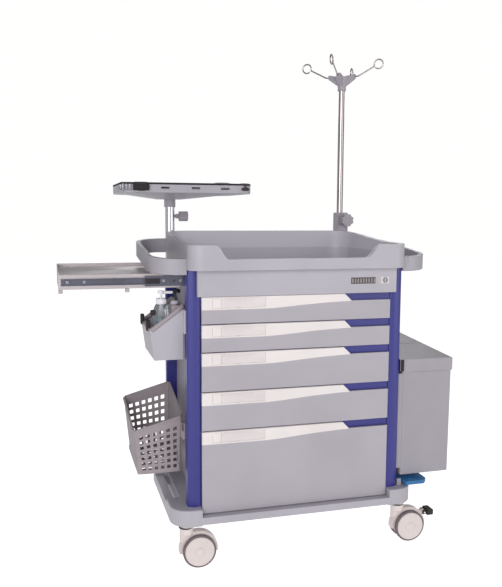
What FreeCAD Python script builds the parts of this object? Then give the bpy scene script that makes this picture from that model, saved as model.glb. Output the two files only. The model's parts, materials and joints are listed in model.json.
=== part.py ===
import FreeCAD, Part
import math
import os

# Hospital crash cart: five-drawer cabinet on four twin-wheel casters, with a moulded
# worktop, a pull-out side table, a turning monitor platform, an IV pole, waste bins,
# a utility box and a side basket.
#
# Millimetres, +Z up, +X to the user's right when facing the drawers, +Y to the back.
# Dimensions below are given in the cabinet frame: x = 0 on the cabinet's centre line,
# y = 0 on the front face of the columns, z = 0 on the floor.  The exported parts are
# moved so that the origin is the centre of the whole cart's footprint, on the floor.

Vec = FreeCAD.Vector
X_DIR = Vec(1, 0, 0)
Y_DIR = Vec(0, 1, 0)
Z_DIR = Vec(0, 0, 1)

# ---------------------------------------------------------------- driving dimensions
# Cabinet and columns
CABINET_HALF = 341.0
COLUMN_WIDTH = 40.0
CABINET_DEPTH = 435.0
COLUMN_FOOT_Z = 180.0
CABINET_TOP_Z = 888.0
COLUMN_INNER = CABINET_HALF - COLUMN_WIDTH
REAR_COLUMN_Y = CABINET_DEPTH - COLUMN_WIDTH
PANEL_OUTER = 306.0
PANEL_THICK = 3.0
LEFT_PANEL_TOP = 818.0

# Base moulding
BASE_HALF = 392.0
BASE_FRONT = -27.0
BASE_REAR = 440.0
BASE_RADIUS = 62.0
BASE_BOTTOM = 128.0
BEAM_BOTTOM = 133.0
BASE_DECK = 155.0

# Casters
WHEEL_RADIUS = 50.0
WHEEL_WIDTH = 18.0
WHEEL_GAP = 13.0
TRAIL = 35.0
HOOD_RADIUS = 58.0
HOOD_HALF = 12.5
FRONT_STEM = (345.0, 5.0)
REAR_STEM = (325.0, 385.0)
STEM_RADIUS = 8.0
RUN_CLEARANCE = 0.05

# Drawers, from the top
DRAWER_TOP = 811.0
DRAWER_HEIGHTS = (83.0, 83.0, 118.0, 118.0, 253.0)
DRAWER_HALF = 299.0
DRAWER_FACE_Y = -3.0
DRAWER_FACE_THICK = 8.0
DRAWER_GAP = 1.2
TUB_HALF = 286.5
TUB_REAR = 398.0
TUB_WALL = 2.0
GRIP_LEFT_DROP = 40.0
GRIP_RIGHT_DROP = 24.5
GRIP_RIGHT_X = 170.0
RAIL_HEIGHT = 32.0
CROSSBAR_DROP = 23.0

# Fascia and lock
FASCIA_HALF = 313.0
FASCIA_FRONT = -15.0
LOCK_X = 273.0
LOCK_Z = 850.0
LOCK_RADIUS = 9.0
LOCK_BAR_X = 273.0

# Worktop
TRAY_HALF = 340.0
TRAY_FRONT = -40.0
TRAY_REAR = 455.0
TRAY_FRONT_RADIUS = 42.0
TRAY_REAR_RADIUS = 75.0
TRAY_FLOOR = 892.0
TRAY_STEP_Z = 933.0
FRONT_RIM_Z = 920.0
CORNER_RIM_Z = 961.0
REAR_RIM_Z = 991.0

# Side handles
HANDLE_REACH = 445.0
HANDLE_THICK = 13.0
HANDLE_RADIUS = 88.0
HANDLE_HEIGHT = 46.0
HANDLE_FRONT_Z = 874.0
HANDLE_SLOPE = 0.105
HANDLE_FRONT_Y = 2.0
HANDLE_REAR_Y = 432.0

# Pull-out side table
TABLE_TIP = -697.0
TABLE_ROOT = -352.0
TABLE_FRONT = 54.0
TABLE_TOP_Z = 876.0
TABLE_SKIRT = 42.0
TABLE_LIP_Z = 887.0
SLIDE_Z = 855.0
SLIDE_MIRROR_Y = CABINET_DEPTH / 2

# Monitor platform
POST_X = -311.0
POST_Y = 490.0
POST_RADIUS = 16.0
POST_FOOT_Z = 700.0
POST_TOP_Z = 1108.0
DECK_X = (-495.0, -66.0)
DECK_Y = (300.0, 660.0)
DECK_BOTTOM = 1115.0
DECK_TOP = 1146.0
DECK_WALL = 5.0
DECK_FRONT_RADIUS = 26.0
DECK_REAR_RADIUS = 60.0
PLATFORM_KNOB_Z = 1040.0

# IV pole
IV_X = 320.0
IV_Y = 480.0
IV_RADIUS = 11.0
IV_FOOT_Z = 560.0
IV_HEAD_Z = 1495.0
IV_HUB_TOP = 1552.0
HOOK_RING_OUT = 134.0
HOOK_RING_Z = 1582.0
HOOK_RING_RADIUS = 16.0
HOOK_WIRE = 2.6
HOOK_TURN = -38.0
IV_KNOB_X = 334.0
IV_KNOB_Z = 1028.0

# Waste bins
BIN_X = (355.0, 530.3)
BIN_STARTS = (10.0, 212.0)
BIN_LENGTH = 192.0
BIN_BOTTOM = 212.0
BIN_TOP = 585.0
BIN_WALL = 2.5
BIN_RIM_INSET = 1.8
BIN_RADIUS = 6.0
LID_SKIRT_Z = 551.0
LID_TOP_Z = 592.0
LID_SLOPE = 0.062
LID_PIVOT = (350.0, 587.0)
LID_INNER = 348.0
LID_OUTER = 532.5
LID_WALL = 2.2
LID_OVERHANG = 3.5
HINGE_BARREL = 4.0
HINGE_PIN = 1.5

# Bin pedal
PEDAL_X = (345.0, 440.0)
PEDAL_Y = (15.0, 85.0)
PEDAL_NOSE = -20.0
PEDAL_Z = (188.0, 200.0)
PEDAL_PIVOT = (352.0, 194.0)

# Brake levers, from the axle
BRAKE_REACH = 58.0
BRAKE_Z = 84.0
BRAKE_PIN = 3.0

# Utility box and its dispenser
UTILITY_Y = (40.0, 250.0)
UTILITY_INNER = -345.0
UTILITY_OUTER = -443.0
UTILITY_BOTTOM = 621.0
UTILITY_TAPER = 12.0
DISPENSER_X = -404.0
BOTTLE_RADIUS = 22.5
BOTTLE_SHOULDER = 772.0
DISPENSER_Y = 82.0

# Side basket
BASKET_INNER = -345.0
BASKET_TOP_OUTER = -503.0
BASKET_BOTTOM_OUTER = -478.0
BASKET_FRONT = 65.0
BASKET_REAR = 325.0
BASKET_BOTTOM = 272.0
BASKET_WALL = 3.0

# Origin of the exported parts, in the cabinet frame
ORIGIN = Vec((TABLE_TIP + LID_OUTER) / 2, (TRAY_FRONT + DECK_Y[1]) / 2, 0)


# ---------------------------------------------------------------- shape helpers
def block(x0, x1, y0, y1, z0, z1):
    """Box between two corners."""
    return Part.makeBox(x1 - x0, y1 - y0, z1 - z0, Vec(x0, y0, z0))


def rod(start, direction, radius, length):
    """Cylinder from a start point."""
    return Part.makeCylinder(radius, length, Vec(*start), direction)


def prism(points, sweep):
    """Polygon through the points, swept along a vector."""
    return Part.Face(Part.makePolygon(points + [points[0]])).extrude(sweep)


def mirror_x(shape):
    """Copy on the other side of the cabinet's centre plane."""
    return shape.mirror(Vec(0, 0, 0), X_DIR)


def mirror_y(shape, y):
    """Copy on the other side of a plane across the depth."""
    return shape.mirror(Vec(0, y, 0), Y_DIR)


def union(shapes):
    """One solid out of touching or overlapping shapes."""
    result = shapes[0]
    if len(shapes) > 1:
        result = shapes[0].multiFuse(shapes[1:])
    return result.removeSplitter()


def rounded_wire(x0, x1, y0, y1, z, front_radius, rear_radius):
    """Rectangle with rounded corners, front corners at y0 and rear corners at y1."""
    corners = (
        (x0, y0, front_radius, 180),
        (x1, y0, front_radius, 270),
        (x1, y1, rear_radius, 0),
        (x0, y1, rear_radius, 90),
    )
    arcs = []
    for x, y, radius, start in corners:
        cx = x + radius if x == x0 else x - radius
        cy = y + radius if y == y0 else y - radius
        ends = []
        for turn in (0, 45, 90):
            angle = math.radians(start + turn)
            ends.append(Vec(cx + radius * math.cos(angle), cy + radius * math.sin(angle), z))
        arcs.append(ends)
    edges = []
    for index, ends in enumerate(arcs):
        edges.append(Part.Arc(*ends).toShape())
        edges.append(Part.makeLine(ends[2], arcs[(index + 1) % 4][0]))
    return Part.Wire(edges)


def rounded_slab(x0, x1, y0, y1, z0, z1, front_radius, rear_radius):
    """Vertical prism on a rounded rectangle."""
    wire = rounded_wire(x0, x1, y0, y1, z0, front_radius, rear_radius)
    return Part.Face(wire).extrude(Vec(0, 0, z1 - z0))


def open_box(x0, x1, y0, y1, z0, z1, wall):
    """Box with no lid."""
    cavity = block(x0 + wall, x1 - wall, y0 + wall, y1 - wall, z0 + wall, z1 + 1)
    return block(x0, x1, y0, y1, z0, z1).cut(cavity)


def edges_in_plane(shape, axis, value):
    """Edges whose whole length lies in one coordinate plane."""
    low = axis + "Min"
    high = axis + "Max"
    found = []
    for edge in shape.Edges:
        box = edge.BoundBox
        if abs(getattr(box, low) - value) < 1e-4 and abs(getattr(box, high) - value) < 1e-4:
            found.append(edge)
    return found


def lobed_knob(start, direction, radius, length, lobes):
    """Hand knob: a disc with finger scallops around its rim."""
    body = rod(start, direction, radius, length)
    side = X_DIR if abs(direction.x) < 0.5 else Z_DIR
    other = direction.cross(side)
    cutters = []
    for index in range(lobes):
        angle = 2 * math.pi * index / lobes
        centre = Vec(*start) + side * (1.28 * radius * math.cos(angle))
        centre = centre + other * (1.28 * radius * math.sin(angle))
        centre = centre - direction
        cutters.append(Part.makeCylinder(0.42 * radius, length + 2, centre, direction))
    return body.cut(Part.makeCompound(cutters))


# ---------------------------------------------------------------- frame
def base_frame():
    """Moulded base: corner bosses, low front beam, side rails and pedal ears."""
    outer = rounded_slab(-BASE_HALF, BASE_HALF, BASE_FRONT, BASE_REAR,
                         BASE_BOTTOM, COLUMN_FOOT_Z, BASE_RADIUS, BASE_RADIUS)
    outer = outer.makeFillet(7, edges_in_plane(outer, "Z", BASE_BOTTOM))
    outer = outer.makeFillet(4, edges_in_plane(outer, "Z", COLUMN_FOOT_Z))
    boss_inner = COLUMN_INNER + 1.5
    middle = block(-boss_inner, boss_inner, BASE_FRONT - 1, BASE_REAR + 1,
                   BASE_DECK, COLUMN_FOOT_Z + 1)
    below = block(-boss_inner, boss_inner, BASE_FRONT - 1, BASE_REAR + 1,
                  BASE_BOTTOM - 1, BEAM_BOTTOM)
    pocket = block(-300, 300, 0, 415, BASE_BOTTOM - 1, BASE_DECK - 6)
    shape = outer.cut(Part.makeCompound([middle, below])).cut(pocket)
    for side in (-1, 1):
        low, high = sorted((side * 350, side * 366))
        shape = shape.cut(block(low, high, 90, 340, BASE_BOTTOM - 1, COLUMN_FOOT_Z + 1))
        low, high = sorted((side * 366, side * (BASE_HALF + 1)))
        shape = shape.cut(block(low, high, 90, 340, 168, COLUMN_FOOT_Z + 1))
        for stem_x, stem_y in (FRONT_STEM, REAR_STEM):
            socket = rod((side * stem_x, stem_y, BASE_BOTTOM - 1), Z_DIR,
                         STEM_RADIUS + RUN_CLEARANCE, 25)
            shape = shape.cut(socket)
    ears = []
    for y in (PEDAL_Y[0] - 6, PEDAL_Y[1] + 1):
        ears.append(block(PEDAL_X[0], PEDAL_X[0] + 14, y, y + 5, COLUMN_FOOT_Z - 3, PEDAL_Z[1]))
    pin = rod((PEDAL_PIVOT[0], PEDAL_Y[0] - 4, PEDAL_PIVOT[1]), Y_DIR, 3,
              PEDAL_Y[1] - PEDAL_Y[0] + 8)
    return union([shape] + ears + [pin])


def column(z0, z1):
    """Front right column: aluminium extrusion with a bowed face."""
    inner = COLUMN_INNER
    outer = CABINET_HALF
    turn = outer - 7
    face = Part.Arc(Vec(inner, 4, z0), Vec((inner + turn) / 2, 0, z0), Vec(turn, 4, z0))
    corner = Part.Arc(Vec(turn, 4, z0), Vec(outer - 2, 7, z0), Vec(outer, 12, z0))
    edges = [
        Part.makeLine(Vec(inner, COLUMN_WIDTH, z0), Vec(inner, 4, z0)),
        face.toShape(),
        corner.toShape(),
        Part.makeLine(Vec(outer, 12, z0), Vec(outer, COLUMN_WIDTH, z0)),
        Part.makeLine(Vec(outer, COLUMN_WIDTH, z0), Vec(inner, COLUMN_WIDTH, z0)),
    ]
    solid = Part.Face(Part.Wire(edges)).extrude(Vec(0, 0, z1 - z0))
    hollow = block(inner + 3, outer - 3, 9, COLUMN_WIDTH - 3, z0 - 1, z1 + 1)
    return solid.cut(hollow)


def corner_columns():
    """Four upright extrusions that tie the base to the worktop."""
    right = column(COLUMN_FOOT_Z, CABINET_TOP_Z)
    left = mirror_x(right)
    middle = CABINET_DEPTH / 2
    return Part.makeCompound([right, left, mirror_y(right, middle), mirror_y(left, middle)])


def cabinet_panels():
    """Side sheets between the columns, and the back sheet."""
    inner = PANEL_OUTER - PANEL_THICK
    left = block(-PANEL_OUTER, -inner, COLUMN_WIDTH, REAR_COLUMN_Y,
                 COLUMN_FOOT_Z, LEFT_PANEL_TOP)
    right = block(inner, PANEL_OUTER, COLUMN_WIDTH, REAR_COLUMN_Y,
                  COLUMN_FOOT_Z, CABINET_TOP_Z)
    back = block(-COLUMN_INNER, COLUMN_INNER, CABINET_DEPTH - 10, CABINET_DEPTH - 7,
                 BASE_DECK, CABINET_TOP_Z)
    return Part.makeCompound([left, right, back])


def drawer_levels():
    """Name, top and bottom of each drawer, from the top down."""
    levels = []
    top = DRAWER_TOP
    for index, height in enumerate(DRAWER_HEIGHTS):
        levels.append((index + 1, top, top - height))
        top = top - height
    return levels


def crossbars():
    """Painted bars between the front columns, one above each drawer's tub."""
    bars = []
    for _, top, _ in drawer_levels():
        bars.append(block(-COLUMN_INNER, COLUMN_INNER, 7, 19, top - CROSSBAR_DROP, top))
    return Part.makeCompound(bars)


def rail_centre(top, bottom):
    """Height of a drawer's rails."""
    return (top - CROSSBAR_DROP - 3 + bottom + 4) / 2


def drawer_rails():
    """Fixed channels, one on each side of every drawer."""
    rails = []
    for _, top, bottom in drawer_levels():
        z = rail_centre(top, bottom)
        half = RAIL_HEIGHT / 2
        web = block(299, COLUMN_INNER, 20, 412, z - half, z + half)
        upper = block(290, 300, 20, 412, z + half - 2, z + half)
        lower = block(290, 300, 20, 412, z - half, z - half + 2)
        rail = union([web, upper, lower])
        rails.extend([rail, mirror_x(rail)])
    return Part.makeCompound(rails)


def hinge_bracket(y, way):
    """Plate on a column's outer face, with an ear and a pin for one bin lid."""
    axis = lid_axis_point(y)
    ear_low, ear_high = sorted((y - way * 5, y))
    plate_low, plate_high = sorted((y - way * 5, y + way * 16))
    plate = block(CABINET_HALF, CABINET_HALF + 3, plate_low, plate_high, axis[2] - 30, axis[2] + 8)
    ear = block(CABINET_HALF, axis[0] + 4, ear_low, ear_high, axis[2] - 30, axis[2] + 5)
    along = Vec(0, way, way * LID_SLOPE)
    pin = rod(lid_axis_point(y - way * 4), along, HINGE_PIN, BIN_LENGTH + 6)
    return union([plate, ear, pin])


def frame_fittings():
    """Screws of the columns and side sheets, and the hinge brackets of the bin lids."""
    screws = []
    for side in (-1, 1):
        x = side * (CABINET_HALF - COLUMN_WIDTH / 2)
        for z in (215, 520, 790):
            head = rod((x, CABINET_DEPTH, z), Y_DIR, 5, 2.5)
            screws.append(head)
        for y in (COLUMN_WIDTH + 12, REAR_COLUMN_Y - 12):
            for z in (240, 540, 790):
                start = side * PANEL_OUTER
                screws.append(rod((start, y, z), X_DIR * side, 4, 2))
    front = BIN_STARTS[0] - LID_OVERHANG - 1
    rear = BIN_STARTS[1] + BIN_LENGTH + LID_OVERHANG + 1
    brackets = [hinge_bracket(front, 1), hinge_bracket(rear, -1)]
    return Part.makeCompound(screws + brackets)


# ---------------------------------------------------------------- drawers
def wave_edge(top, y):
    """Lower edge of the grip strip, from its right end to its flat left part."""
    points = (
        (GRIP_RIGHT_X, GRIP_RIGHT_DROP),
        (90, 27.5),
        (10, 32.5),
        (-55, 37.8),
        (-110, GRIP_LEFT_DROP),
    )
    curve = Part.BSplineCurve()
    curve.interpolate([Vec(x, y, top - drop) for x, drop in points])
    return curve.toShape()


def drawer_grip(top):
    """Pale pull strip along the drawer's upper edge, with a label recess."""
    y = DRAWER_FACE_Y - 3
    high = top - DRAWER_GAP
    low = top - GRIP_LEFT_DROP
    corners = [
        Vec(-110, y, low),
        Vec(-DRAWER_HALF, y, low),
        Vec(-DRAWER_HALF, y, high),
        Vec(GRIP_RIGHT_X - 24, y, high),
        Vec(GRIP_RIGHT_X, y, top - GRIP_RIGHT_DROP),
    ]
    edges = [wave_edge(top, y)]
    for first, second in zip(corners, corners[1:]):
        edges.append(Part.makeLine(first, second))
    depth = DRAWER_FACE_THICK + 3
    solid = Part.Face(Part.Wire(Part.__sortEdges__(edges))).extrude(Vec(0, depth, 0))
    solid = solid.makeFillet(2.2, edges_in_plane(solid, "Y", y))
    recess = block(-268, -106, y - 1, y + 1.6, high - 34, high - 4)
    return solid.cut(recess)


def drawer_front(top, bottom):
    """Grey front panel under the grip strip, lower at the finger gap."""
    y = DRAWER_FACE_Y
    low = bottom + DRAWER_GAP
    notch = top - CROSSBAR_DROP
    corners = [
        Vec(-110, y, top - GRIP_LEFT_DROP),
        Vec(-DRAWER_HALF, y, top - GRIP_LEFT_DROP),
        Vec(-DRAWER_HALF, y, low),
        Vec(DRAWER_HALF, y, low),
        Vec(DRAWER_HALF, y, notch),
        Vec(GRIP_RIGHT_X + 3, y, notch),
        Vec(GRIP_RIGHT_X, y, top - GRIP_RIGHT_DROP),
    ]
    edges = [wave_edge(top, y)]
    for first, second in zip(corners, corners[1:]):
        edges.append(Part.makeLine(first, second))
    wire = Part.Wire(Part.__sortEdges__(edges))
    solid = Part.Face(wire).extrude(Vec(0, DRAWER_FACE_THICK, 0))
    outline = []
    for edge in edges_in_plane(solid, "Y", y):
        box = edge.BoundBox
        on_side = box.XLength < 1e-4 and abs(abs(box.XMin) - DRAWER_HALF) < 1e-4
        on_foot = box.ZLength < 1e-4 and abs(box.ZMin - low) < 1e-4
        if on_side or on_foot:
            outline.append(edge)
    return solid.makeFillet(2.0, outline)


def drawer_tub(top, bottom):
    """Sheet metal drawer body, open at the top."""
    front = DRAWER_FACE_Y + DRAWER_FACE_THICK
    return open_box(-TUB_HALF, TUB_HALF, front, TUB_REAR,
                    bottom + 4, top - CROSSBAR_DROP - 3, TUB_WALL)


def drawer_runners(top, bottom):
    """Moving slide members on both sides of a drawer body."""
    z = rail_centre(top, bottom)
    right = block(TUB_HALF, 297, 24, 395, z - 11, z + 11)
    return Part.makeCompound([right, mirror_x(right)])


# ---------------------------------------------------------------- worktop and fascia
def worktop_tray():
    """Moulded top: basin, low front rim and rims that rise to the back."""
    outer = rounded_slab(-TRAY_HALF, TRAY_HALF, TRAY_FRONT, TRAY_REAR,
                         CABINET_TOP_Z, REAR_RIM_Z + 20, TRAY_FRONT_RADIUS, TRAY_REAR_RADIUS)
    wires = []
    for z, inset in ((TRAY_STEP_Z, 24), (REAR_RIM_Z + 21, 5)):
        wires.append(rounded_wire(-TRAY_HALF + inset, TRAY_HALF - inset,
                                  TRAY_FRONT + inset, TRAY_REAR - inset, z,
                                  TRAY_FRONT_RADIUS - inset / 2, TRAY_REAR_RADIUS - inset / 2))
    flare = Part.makeLoft(wires, True, True)
    basin = rounded_slab(-TRAY_HALF + 24, TRAY_HALF - 24, TRAY_FRONT + 24, TRAY_REAR - 24,
                         TRAY_FLOOR, TRAY_STEP_Z + 0.5,
                         TRAY_FRONT_RADIUS - 12, TRAY_REAR_RADIUS - 12)
    body = outer.cut(flare).cut(basin)
    rim = [
        Vec(-500, TRAY_FRONT - 5, CORNER_RIM_Z),
        Vec(-500, 120, CORNER_RIM_Z + 2),
        Vec(-500, 220, 971),
        Vec(-500, 320, 980),
        Vec(-500, 418, 988),
        Vec(-500, TRAY_REAR + 5, REAR_RIM_Z),
        Vec(-500, TRAY_REAR + 5, 1100),
        Vec(-500, TRAY_FRONT - 5, 1100),
    ]
    body = body.cut(prism(rim, Vec(1000, 0, 0)))
    y = TRAY_FRONT - 10
    slopes = []
    for side, low_x, high_x in ((-1, 221, 268), (1, 200, 252)):
        curve = Part.BSplineCurve()
        middle = (low_x + high_x) / 2
        curve.interpolate([
            Vec(side * low_x, y, FRONT_RIM_Z),
            Vec(side * (low_x + 10), y, FRONT_RIM_Z + 3),
            Vec(side * middle, y, (FRONT_RIM_Z + CORNER_RIM_Z) / 2),
            Vec(side * (high_x - 9), y, CORNER_RIM_Z - 2.5),
            Vec(side * high_x, y, CORNER_RIM_Z + 0.5),
        ])
        slopes.append(curve.toShape())
    high = 1100
    notch = [
        slopes[0],
        slopes[1],
        Part.makeLine(Vec(-221, y, FRONT_RIM_Z), Vec(200, y, FRONT_RIM_Z)),
        Part.makeLine(Vec(-268, y, CORNER_RIM_Z + 0.5), Vec(-268, y, high)),
        Part.makeLine(Vec(-268, y, high), Vec(252, y, high)),
        Part.makeLine(Vec(252, y, high), Vec(252, y, CORNER_RIM_Z + 0.5)),
    ]
    notch_face = Part.Face(Part.Wire(Part.__sortEdges__(notch)))
    return body.cut(notch_face.extrude(Vec(0, 70, 0)))


def front_fascia():
    """Panel between the worktop and the first drawer, with the lock's bore."""
    panel = block(-FASCIA_HALF, FASCIA_HALF, FASCIA_FRONT, 0, DRAWER_TOP, CABINET_TOP_Z)
    panel = panel.makeFillet(3, edges_in_plane(panel, "Y", FASCIA_FRONT)[:])
    bore = rod((LOCK_X, FASCIA_FRONT - 1, LOCK_Z), Y_DIR, LOCK_RADIUS, 20)
    return panel.cut(bore)


def side_handles():
    """Bowed push handles on both sides, rising to the back."""
    handles = []
    reach = HANDLE_REACH
    thick = HANDLE_THICK
    top = 1100
    outer = rounded_slab(TRAY_HALF - 160, reach, HANDLE_FRONT_Y, HANDLE_REAR_Y,
                         850, top, HANDLE_RADIUS, HANDLE_RADIUS)
    inner = rounded_slab(TRAY_HALF - 161, reach - thick, HANDLE_FRONT_Y + thick,
                         HANDLE_REAR_Y - thick, 849, top + 1,
                         HANDLE_RADIUS - thick, HANDLE_RADIUS - thick)
    band = outer.cut(inner)
    tray = rounded_slab(-TRAY_HALF, TRAY_HALF, TRAY_FRONT, TRAY_REAR,
                        800, top + 2, TRAY_FRONT_RADIUS, TRAY_REAR_RADIUS)
    columns = block(-CABINET_HALF, CABINET_HALF, -20, 500, 840, CABINET_TOP_Z)
    band = band.cut(tray).cut(columns)
    profile = []
    for y, lift in ((-20, 0), (500, 0), (500, HANDLE_HEIGHT), (-20, HANDLE_HEIGHT)):
        profile.append(Vec(0, y, HANDLE_FRONT_Z + HANDLE_SLOPE * y + lift))
    band = band.common(prism(profile, Vec(1000, 0, 0)))
    for solid in band.Solids:
        handles.extend([solid, mirror_x(solid)])
    return Part.makeCompound(handles)


def lock_cylinder():
    """Key barrel with a cam behind the fascia."""
    barrel = rod((LOCK_X, FASCIA_FRONT - 3, LOCK_Z), Y_DIR, LOCK_RADIUS - RUN_CLEARANCE, 24)
    keyway = block(LOCK_X - 1, LOCK_X + 1, FASCIA_FRONT - 4, FASCIA_FRONT + 8,
                   LOCK_Z - 5, LOCK_Z + 5)
    cam = block(LOCK_X - 5, LOCK_X + 5, 4, 6, LOCK_Z - 24, LOCK_Z + 5)
    return barrel.cut(keyway).fuse(cam).removeSplitter()


def lock_bar():
    """Sliding bar behind the drawers that locks all of them."""
    bar = block(LOCK_BAR_X - 11, LOCK_BAR_X + 11, 403, 409, 190, 868)
    for _, top, bottom in drawer_levels():
        z = rail_centre(top, bottom)
        bar = bar.cut(block(LOCK_BAR_X - 6, LOCK_BAR_X + 6, 402, 410, z - 9, z + 9))
    return bar


# ---------------------------------------------------------------- side table
def slide_channel(x0, x1, web_y, lip_y, half):
    """C channel with its web across the depth and its lips pointing to the table."""
    web = block(x0, x1, web_y, web_y + 2, SLIDE_Z - half, SLIDE_Z + half)
    upper = block(x0, x1, web_y, lip_y, SLIDE_Z + half - 2, SLIDE_Z + half)
    lower = block(x0, x1, web_y, lip_y, SLIDE_Z - half, SLIDE_Z - half + 2)
    return union([web, upper, lower])


def both_slides(front):
    """Front slide member and its mirror image at the back."""
    return Part.makeCompound([front, mirror_y(front, SLIDE_MIRROR_Y)])


def table_rails_fixed():
    """Slide members that hang under the worktop."""
    channel = slide_channel(-300, 50, 41, 50, 19)
    hanger = block(-300, 50, 41, 43, SLIDE_Z + 10, CABINET_TOP_Z)
    return both_slides(union([channel, hanger]))


def table_rails_middle():
    """Middle slide members, half way out when the table is out."""
    channel = slide_channel(-455, -125, 45, 50.5, 15)
    holes = []
    for x in (-430, -372, -300, -220):
        holes.append(rod((x, 40, SLIDE_Z), Y_DIR, 4.5, 20))
    return both_slides(channel.cut(Part.makeCompound(holes)))


def table_rails_inner():
    """Slide members screwed to the table's side skirts."""
    web = block(-690, -330, 52, TABLE_FRONT, SLIDE_Z - 10, SLIDE_Z + 10)
    upper = block(-690, -330, 47.6, TABLE_FRONT, SLIDE_Z + 8, SLIDE_Z + 10)
    lower = block(-690, -330, 47.6, TABLE_FRONT, SLIDE_Z - 10, SLIDE_Z - 8)
    screws = []
    for x in (-672, -626, -520, -420):
        screws.append(rod((x, 50, SLIDE_Z), Y_DIR, 3.5, 2.5))
    return both_slides(union([web, upper, lower] + screws))


def table_top():
    """Folded stainless shelf with side skirts, end panel, back lip and feet."""
    rear = CABINET_DEPTH - TABLE_FRONT
    skirt_z = TABLE_TOP_Z - TABLE_SKIRT
    sheet = 2.0
    plate = block(TABLE_TIP, TABLE_ROOT, TABLE_FRONT, rear, TABLE_TOP_Z - sheet, TABLE_TOP_Z)
    front = block(TABLE_TIP, TABLE_ROOT, TABLE_FRONT, TABLE_FRONT + sheet,
                  skirt_z, TABLE_TOP_Z)
    back = block(TABLE_TIP, TABLE_ROOT, rear - sheet, rear, skirt_z, TABLE_LIP_Z)
    end = block(TABLE_TIP, TABLE_TIP + sheet, TABLE_FRONT, rear, skirt_z, TABLE_LIP_Z - 3)
    bearer = block(TABLE_ROOT - 14, -332, TABLE_FRONT, TABLE_FRONT + sheet,
                   SLIDE_Z - 12, SLIDE_Z + 12)
    bearers = [bearer, mirror_y(bearer, SLIDE_MIRROR_Y)]
    feet = []
    for x in (-691, -505):
        for y in (TABLE_FRONT + 1, rear - 9):
            feet.append(block(x - 5, x + 5, y, y + 8, skirt_z - 10, skirt_z + 1))
    ribs = [
        block(TABLE_TIP, TABLE_ROOT, 214, 216, skirt_z + 14, TABLE_TOP_Z),
        block(TABLE_ROOT - 2, TABLE_ROOT, TABLE_FRONT, rear, skirt_z + 14, TABLE_TOP_Z),
    ]
    return union([plate, front, back, end] + bearers + feet + ribs)


# ---------------------------------------------------------------- monitor platform
def platform_post():
    """Tube with two brackets on the rear left column."""
    tube = rod((POST_X, POST_Y, POST_FOOT_Z), Z_DIR, POST_RADIUS, POST_TOP_Z - POST_FOOT_Z)
    brackets = []
    for z in (720, 830):
        sleeve = rod((POST_X, POST_Y, z), Z_DIR, POST_RADIUS + 6, 34)
        arm = block(POST_X - 20, POST_X + 10, CABINET_DEPTH, POST_Y, z, z + 34)
        brackets.extend([sleeve, arm])
    shape = union([tube] + brackets)
    shape = shape.cut(rod((POST_X, POST_Y, POST_FOOT_Z - 1), Z_DIR, POST_RADIUS - 2.5,
                          POST_TOP_Z - POST_FOOT_Z + 2))
    thread = rod((POST_X, POST_Y, PLATFORM_KNOB_Z), X_DIR, 4 + RUN_CLEARANCE, 30)
    return shape.cut(thread)


def platform_knob():
    """Clamping screw for the platform's height and turn."""
    grip = lobed_knob((POST_X + 32, POST_Y, PLATFORM_KNOB_Z), X_DIR, 17.5, 30, 7)
    stem = rod((POST_X + 12, POST_Y, PLATFORM_KNOB_Z), X_DIR, 4, 21)
    collar = rod((POST_X + 20, POST_Y, PLATFORM_KNOB_Z), X_DIR, 8, 13)
    return union([grip, stem, collar])


def platform_deck():
    """Lipped deck on a tapered underside and a collar that turns on the post."""
    x0, x1 = DECK_X
    y0, y1 = DECK_Y
    outer = rounded_slab(x0, x1, y0, y1, DECK_BOTTOM, DECK_TOP,
                         DECK_FRONT_RADIUS, DECK_REAR_RADIUS)
    outer = outer.makeFillet(3, edges_in_plane(outer, "Z", DECK_BOTTOM))
    wall = DECK_WALL
    well = rounded_slab(x0 + wall, x1 - wall, y0 + wall, y1 - wall, DECK_BOTTOM + 8,
                        DECK_TOP + 1, DECK_FRONT_RADIUS - wall, DECK_REAR_RADIUS - wall)
    shape = outer.cut(well)
    for x in (-355, -255, -157):
        shape = shape.cut(block(x - 14, x + 14, y0 - 1, y0 + 6, 1127, 1134.5))
        shape = shape.cut(block(x - 14, x + 14, y1 - 6, y1 + 1, 1127, 1134.5))
    centre_x = (x0 + x1) / 2
    centre_y = (y0 + y1) / 2
    cone = Part.makeLoft([
        rounded_wire(POST_X - 42, POST_X + 42, POST_Y - 42, POST_Y + 42, 1098, 12, 12),
        rounded_wire(centre_x - 178, centre_x + 178, centre_y - 150, centre_y + 150,
                     DECK_BOTTOM + 0.5, 22, 22),
    ], True, True)
    collar = rod((POST_X, POST_Y, 1071), Z_DIR, POST_RADIUS + 3.5, 30)
    shape = union([shape, cone, collar])
    bore = rod((POST_X, POST_Y, 1070), Z_DIR, POST_RADIUS + RUN_CLEARANCE,
               POST_TOP_Z - 1070 + 1)
    return shape.cut(bore)


# ---------------------------------------------------------------- IV pole
def iv_clamp():
    """Clamp block and lower guide on one strap behind the worktop."""
    upper = block(IV_X - 18, IV_X + 28, 463, 501, 985, 1056)
    upper = upper.makeFillet(5, upper.Edges)
    strap = block(IV_X - 16, IV_X + 14, TRAY_REAR, 465, 820, 1010)
    lower = block(IV_X - 18, IV_X + 18, CABINET_DEPTH, 498, 820, 850)
    shape = union([upper, strap, lower])
    bore = rod((IV_X, IV_Y, 800), Z_DIR, IV_RADIUS + RUN_CLEARANCE, 300)
    thread = rod((IV_KNOB_X, 440, IV_KNOB_Z), Y_DIR, 4 + RUN_CLEARANCE, 30)
    return shape.cut(bore).cut(thread)


def iv_knob():
    """Lobed clamping screw that faces the user."""
    grip = lobed_knob((IV_KNOB_X, 454, IV_KNOB_Z), Y_DIR * -1, 23, 22, 8)
    stem = rod((IV_KNOB_X, 450, IV_KNOB_Z), Y_DIR, 4, 18)
    collar = rod((IV_KNOB_X, 450, IV_KNOB_Z), Y_DIR, 9, 11)
    return union([grip, stem, collar])


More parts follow.
